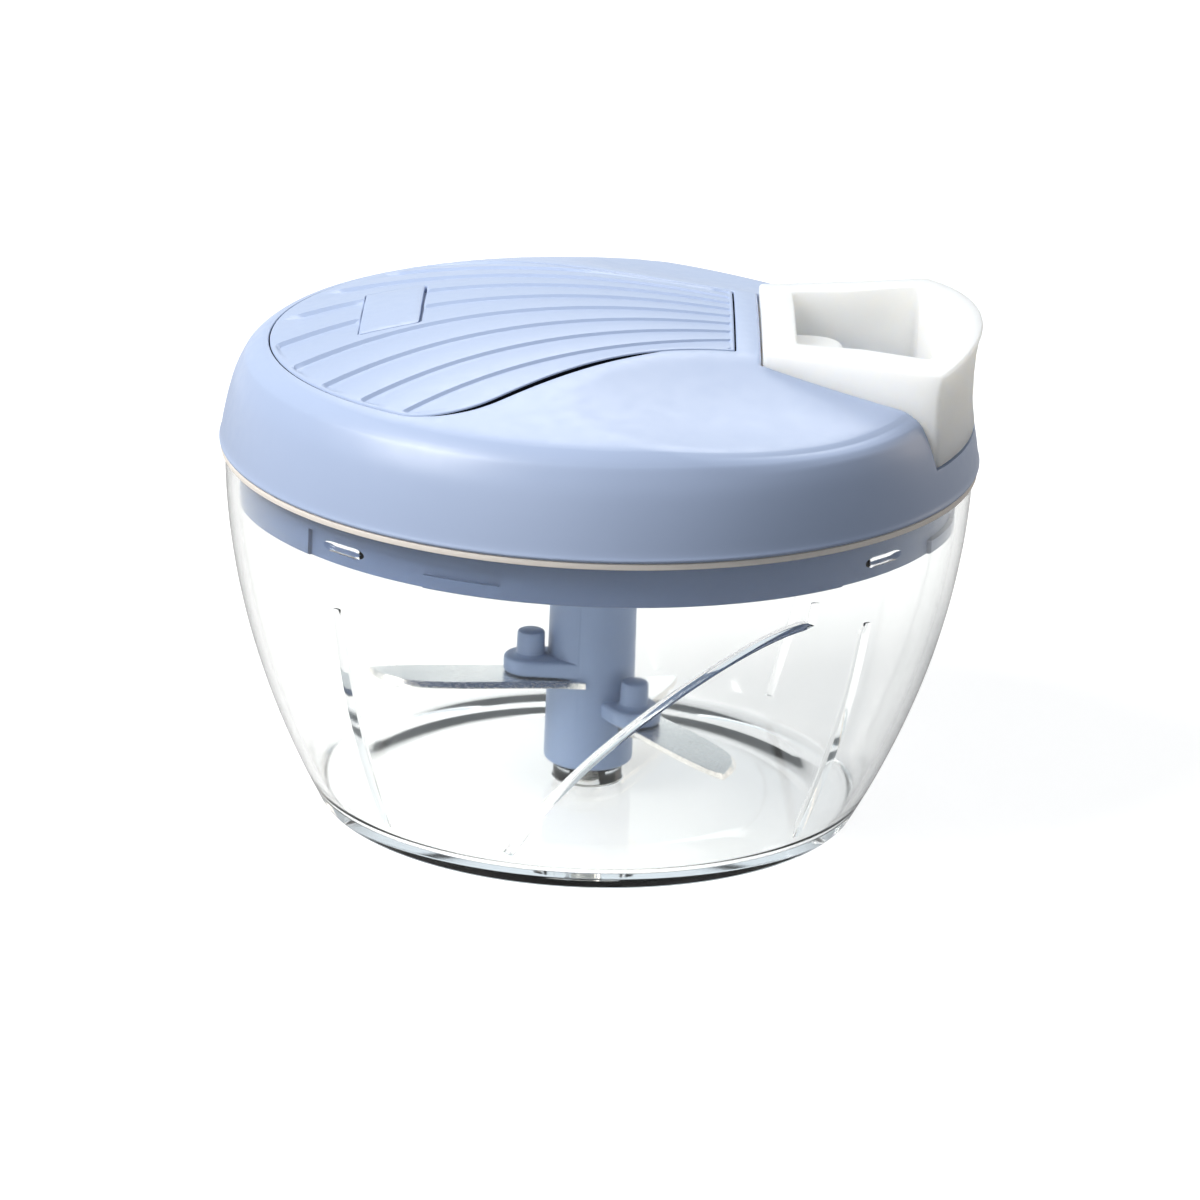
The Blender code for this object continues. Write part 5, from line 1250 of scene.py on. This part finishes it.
# CAD nodes that keep their shape and get a finished material
for names, material in (
    (("pivot_pin", "reel_washer", "reel_screw", "cover_screw_1", "cover_screw_2", "cover_screw_3",
      "cover_screw_4", "blade_rivet_upper", "blade_rivet_middle", "blade_rivet_lower"), plated_steel),
    (("shaft_bush", "drive_shaft"), natural),
    (("reel", "spring_cover", "knot_cap"), inner_white),
    (("spiral_spring",), blued_steel),
):
    for name in names:
        mesh = nodes[name].data
        mesh.materials.clear()
        mesh.materials.append(material)


# Stage, camera and light


def by_ray(tree, value, *others):
    """One value for all rays but the kinds that are named with their own. A later kind wins."""
    path = tree.nodes.new("ShaderNodeLightPath")
    for kind, other in others:
        inputs = {"A": value, "B": other, "Factor": path.outputs[kind]}
        value = add_node(tree, "ShaderNodeMix", inputs, data_type="FLOAT").outputs["Result"]
    return value


def spread_over(tree, value, places, results):
    """Smoothly maps a value between two places onto two results."""
    return value_between(tree, value, *results, places, interpolation_type="SMOOTHSTEP")


def make_stage():
    """A pale floor, which glows for what is seen in place of many lamps."""
    material, tree, shader = node_material("floor_pale")
    place = add_node(tree, "ShaderNodeSeparateXYZ", {0: coordinates(tree)})
    far = spread_over(tree, place.outputs["Y"], (0.1, 0.7), (0.15, 0.75))
    feed(tree, shader, {
        "Base Color": by_ray(tree, 0.5, ("Is Glossy Ray", 0.25), ("Is Transmission Ray", 0.5),
                             ("Is Diffuse Ray", 0.16)),
        "Roughness": 0.9,
        "Specular IOR Level": 0.0,
        "Emission Color": (1.0, 1.0, 1.0, 1.0),
        "Emission Strength": by_ray(tree, FLOOR_GLOW, ("Is Glossy Ray", far), ("Is Transmission Ray", 0.64),
                                    ("Is Diffuse Ray", 0.0)),
    })
    bm = bmesh.new()
    bmesh.ops.create_circle(bm, cap_ends=True, segments=128, radius=9000.0)
    bmesh.ops.translate(bm, vec=(0.0, 0.0, -0.02), verts=bm.verts[:])
    floor = mesh_object("floor", bm, material)


def make_world():
    """A pale studio: dimmer to the sides and to the front, for what shows in gloss and in the clear walls."""
    world = bpy.data.worlds.new("studio")
    bpy.context.scene.world = world
    world.use_nodes = True
    tree = world.node_tree
    place = add_node(tree, "ShaderNodeSeparateXYZ", {0: coordinates(tree, "Generated")})
    sideways = math_node(tree, "ABSOLUTE", place.outputs["X"])
    darker = math_node(tree, "MINIMUM", spread_over(tree, sideways, (0.45, 0.95), (0.95, 0.25)),
                       spread_over(tree, place.outputs["Y"], (-0.6, 0.2), (0.4, 0.95)))
    through = math_node(tree, "MAXIMUM", darker, 0.6)
    strength = by_ray(tree, darker, ("Is Diffuse Ray", AMBIENT), ("Is Transmission Ray", through),
                      ("Is Camera Ray", 1.15))
    feed(tree, tree.nodes["Background"], {"Color": (0.84, 0.93, 1.0, 1.0), "Strength": strength})


def area_light(name, azimuth, elevation, distance, size, power, colour=(1.0, 1.0, 1.0)):
    """A round lamp that faces the part's middle."""
    light = bpy.data.lights.new(name, "AREA")
    light.shape = "DISK"
    light.size = size
    light.energy = power
    light.color = colour
    obj = bpy.data.objects.new(name, light)
    e = math.radians(elevation)
    place = polar(distance * math.cos(e), azimuth, distance * math.sin(e))
    obj.location = place + Vector((0.0, 0.0, 0.05))
    obj.rotation_euler = (-place).to_track_quat("-Z", "Y").to_euler()
    bpy.context.scene.collection.objects.link(obj)


def make_camera():
    """The photograph's camera: 0.9 m away, 18.45 degrees up, with the frame rolled by 2.16 degrees."""
    e, r = math.radians(18.45), math.radians(2.16)
    across = Vector((1, 0, 0))
    rise = Vector((0, math.sin(e), math.cos(e)))
    back = Vector((0, -math.cos(e), math.sin(e)))
    right = across * math.cos(r) + rise * math.sin(r)
    up = rise * math.cos(r) - across * math.sin(r)
    place = Vector((0, 0, 0.044)) + back * 0.9
    # the photo's axis meets its 1200-pixel frame a little off the middle
    focal_px, off_x, off_y = 5250.8, 600 - 595.56, 600 - 548.66
    back = -(-back + right * off_x / focal_px - up * off_y / focal_px).normalized()
    right = up.cross(back).normalized()
    up = back.cross(right).normalized()
    data = bpy.data.cameras.new("camera")
    data.lens = 157.52
    data.sensor_width = 36
    data.clip_start = 0.01
    data.clip_end = 50.0
    camera = bpy.data.objects.new("camera", data)
    bpy.context.scene.collection.objects.link(camera)
    matrix = Matrix((right, up, back)).transposed().to_4x4()
    matrix.translation = place
    camera.matrix_world = matrix
    bpy.context.scene.camera = camera


make_stage()
make_world()
area_light("key", 204.0, 43.0, 2.4, 1.5, 69.0, (1.0, 0.985, 0.95))
area_light("back", 90.0, 44.0, 2.0, 1.2, 11.0)
area_light("fill", 245.0, 12.0, 2.4, 1.5, 3.5)
area_light("warm", 26.0, 14.0, 2.0, 1.0, 7.0, (1.0, 0.88, 0.76))
make_camera()
bpy.context.scene.view_settings.view_transform = "Standard"
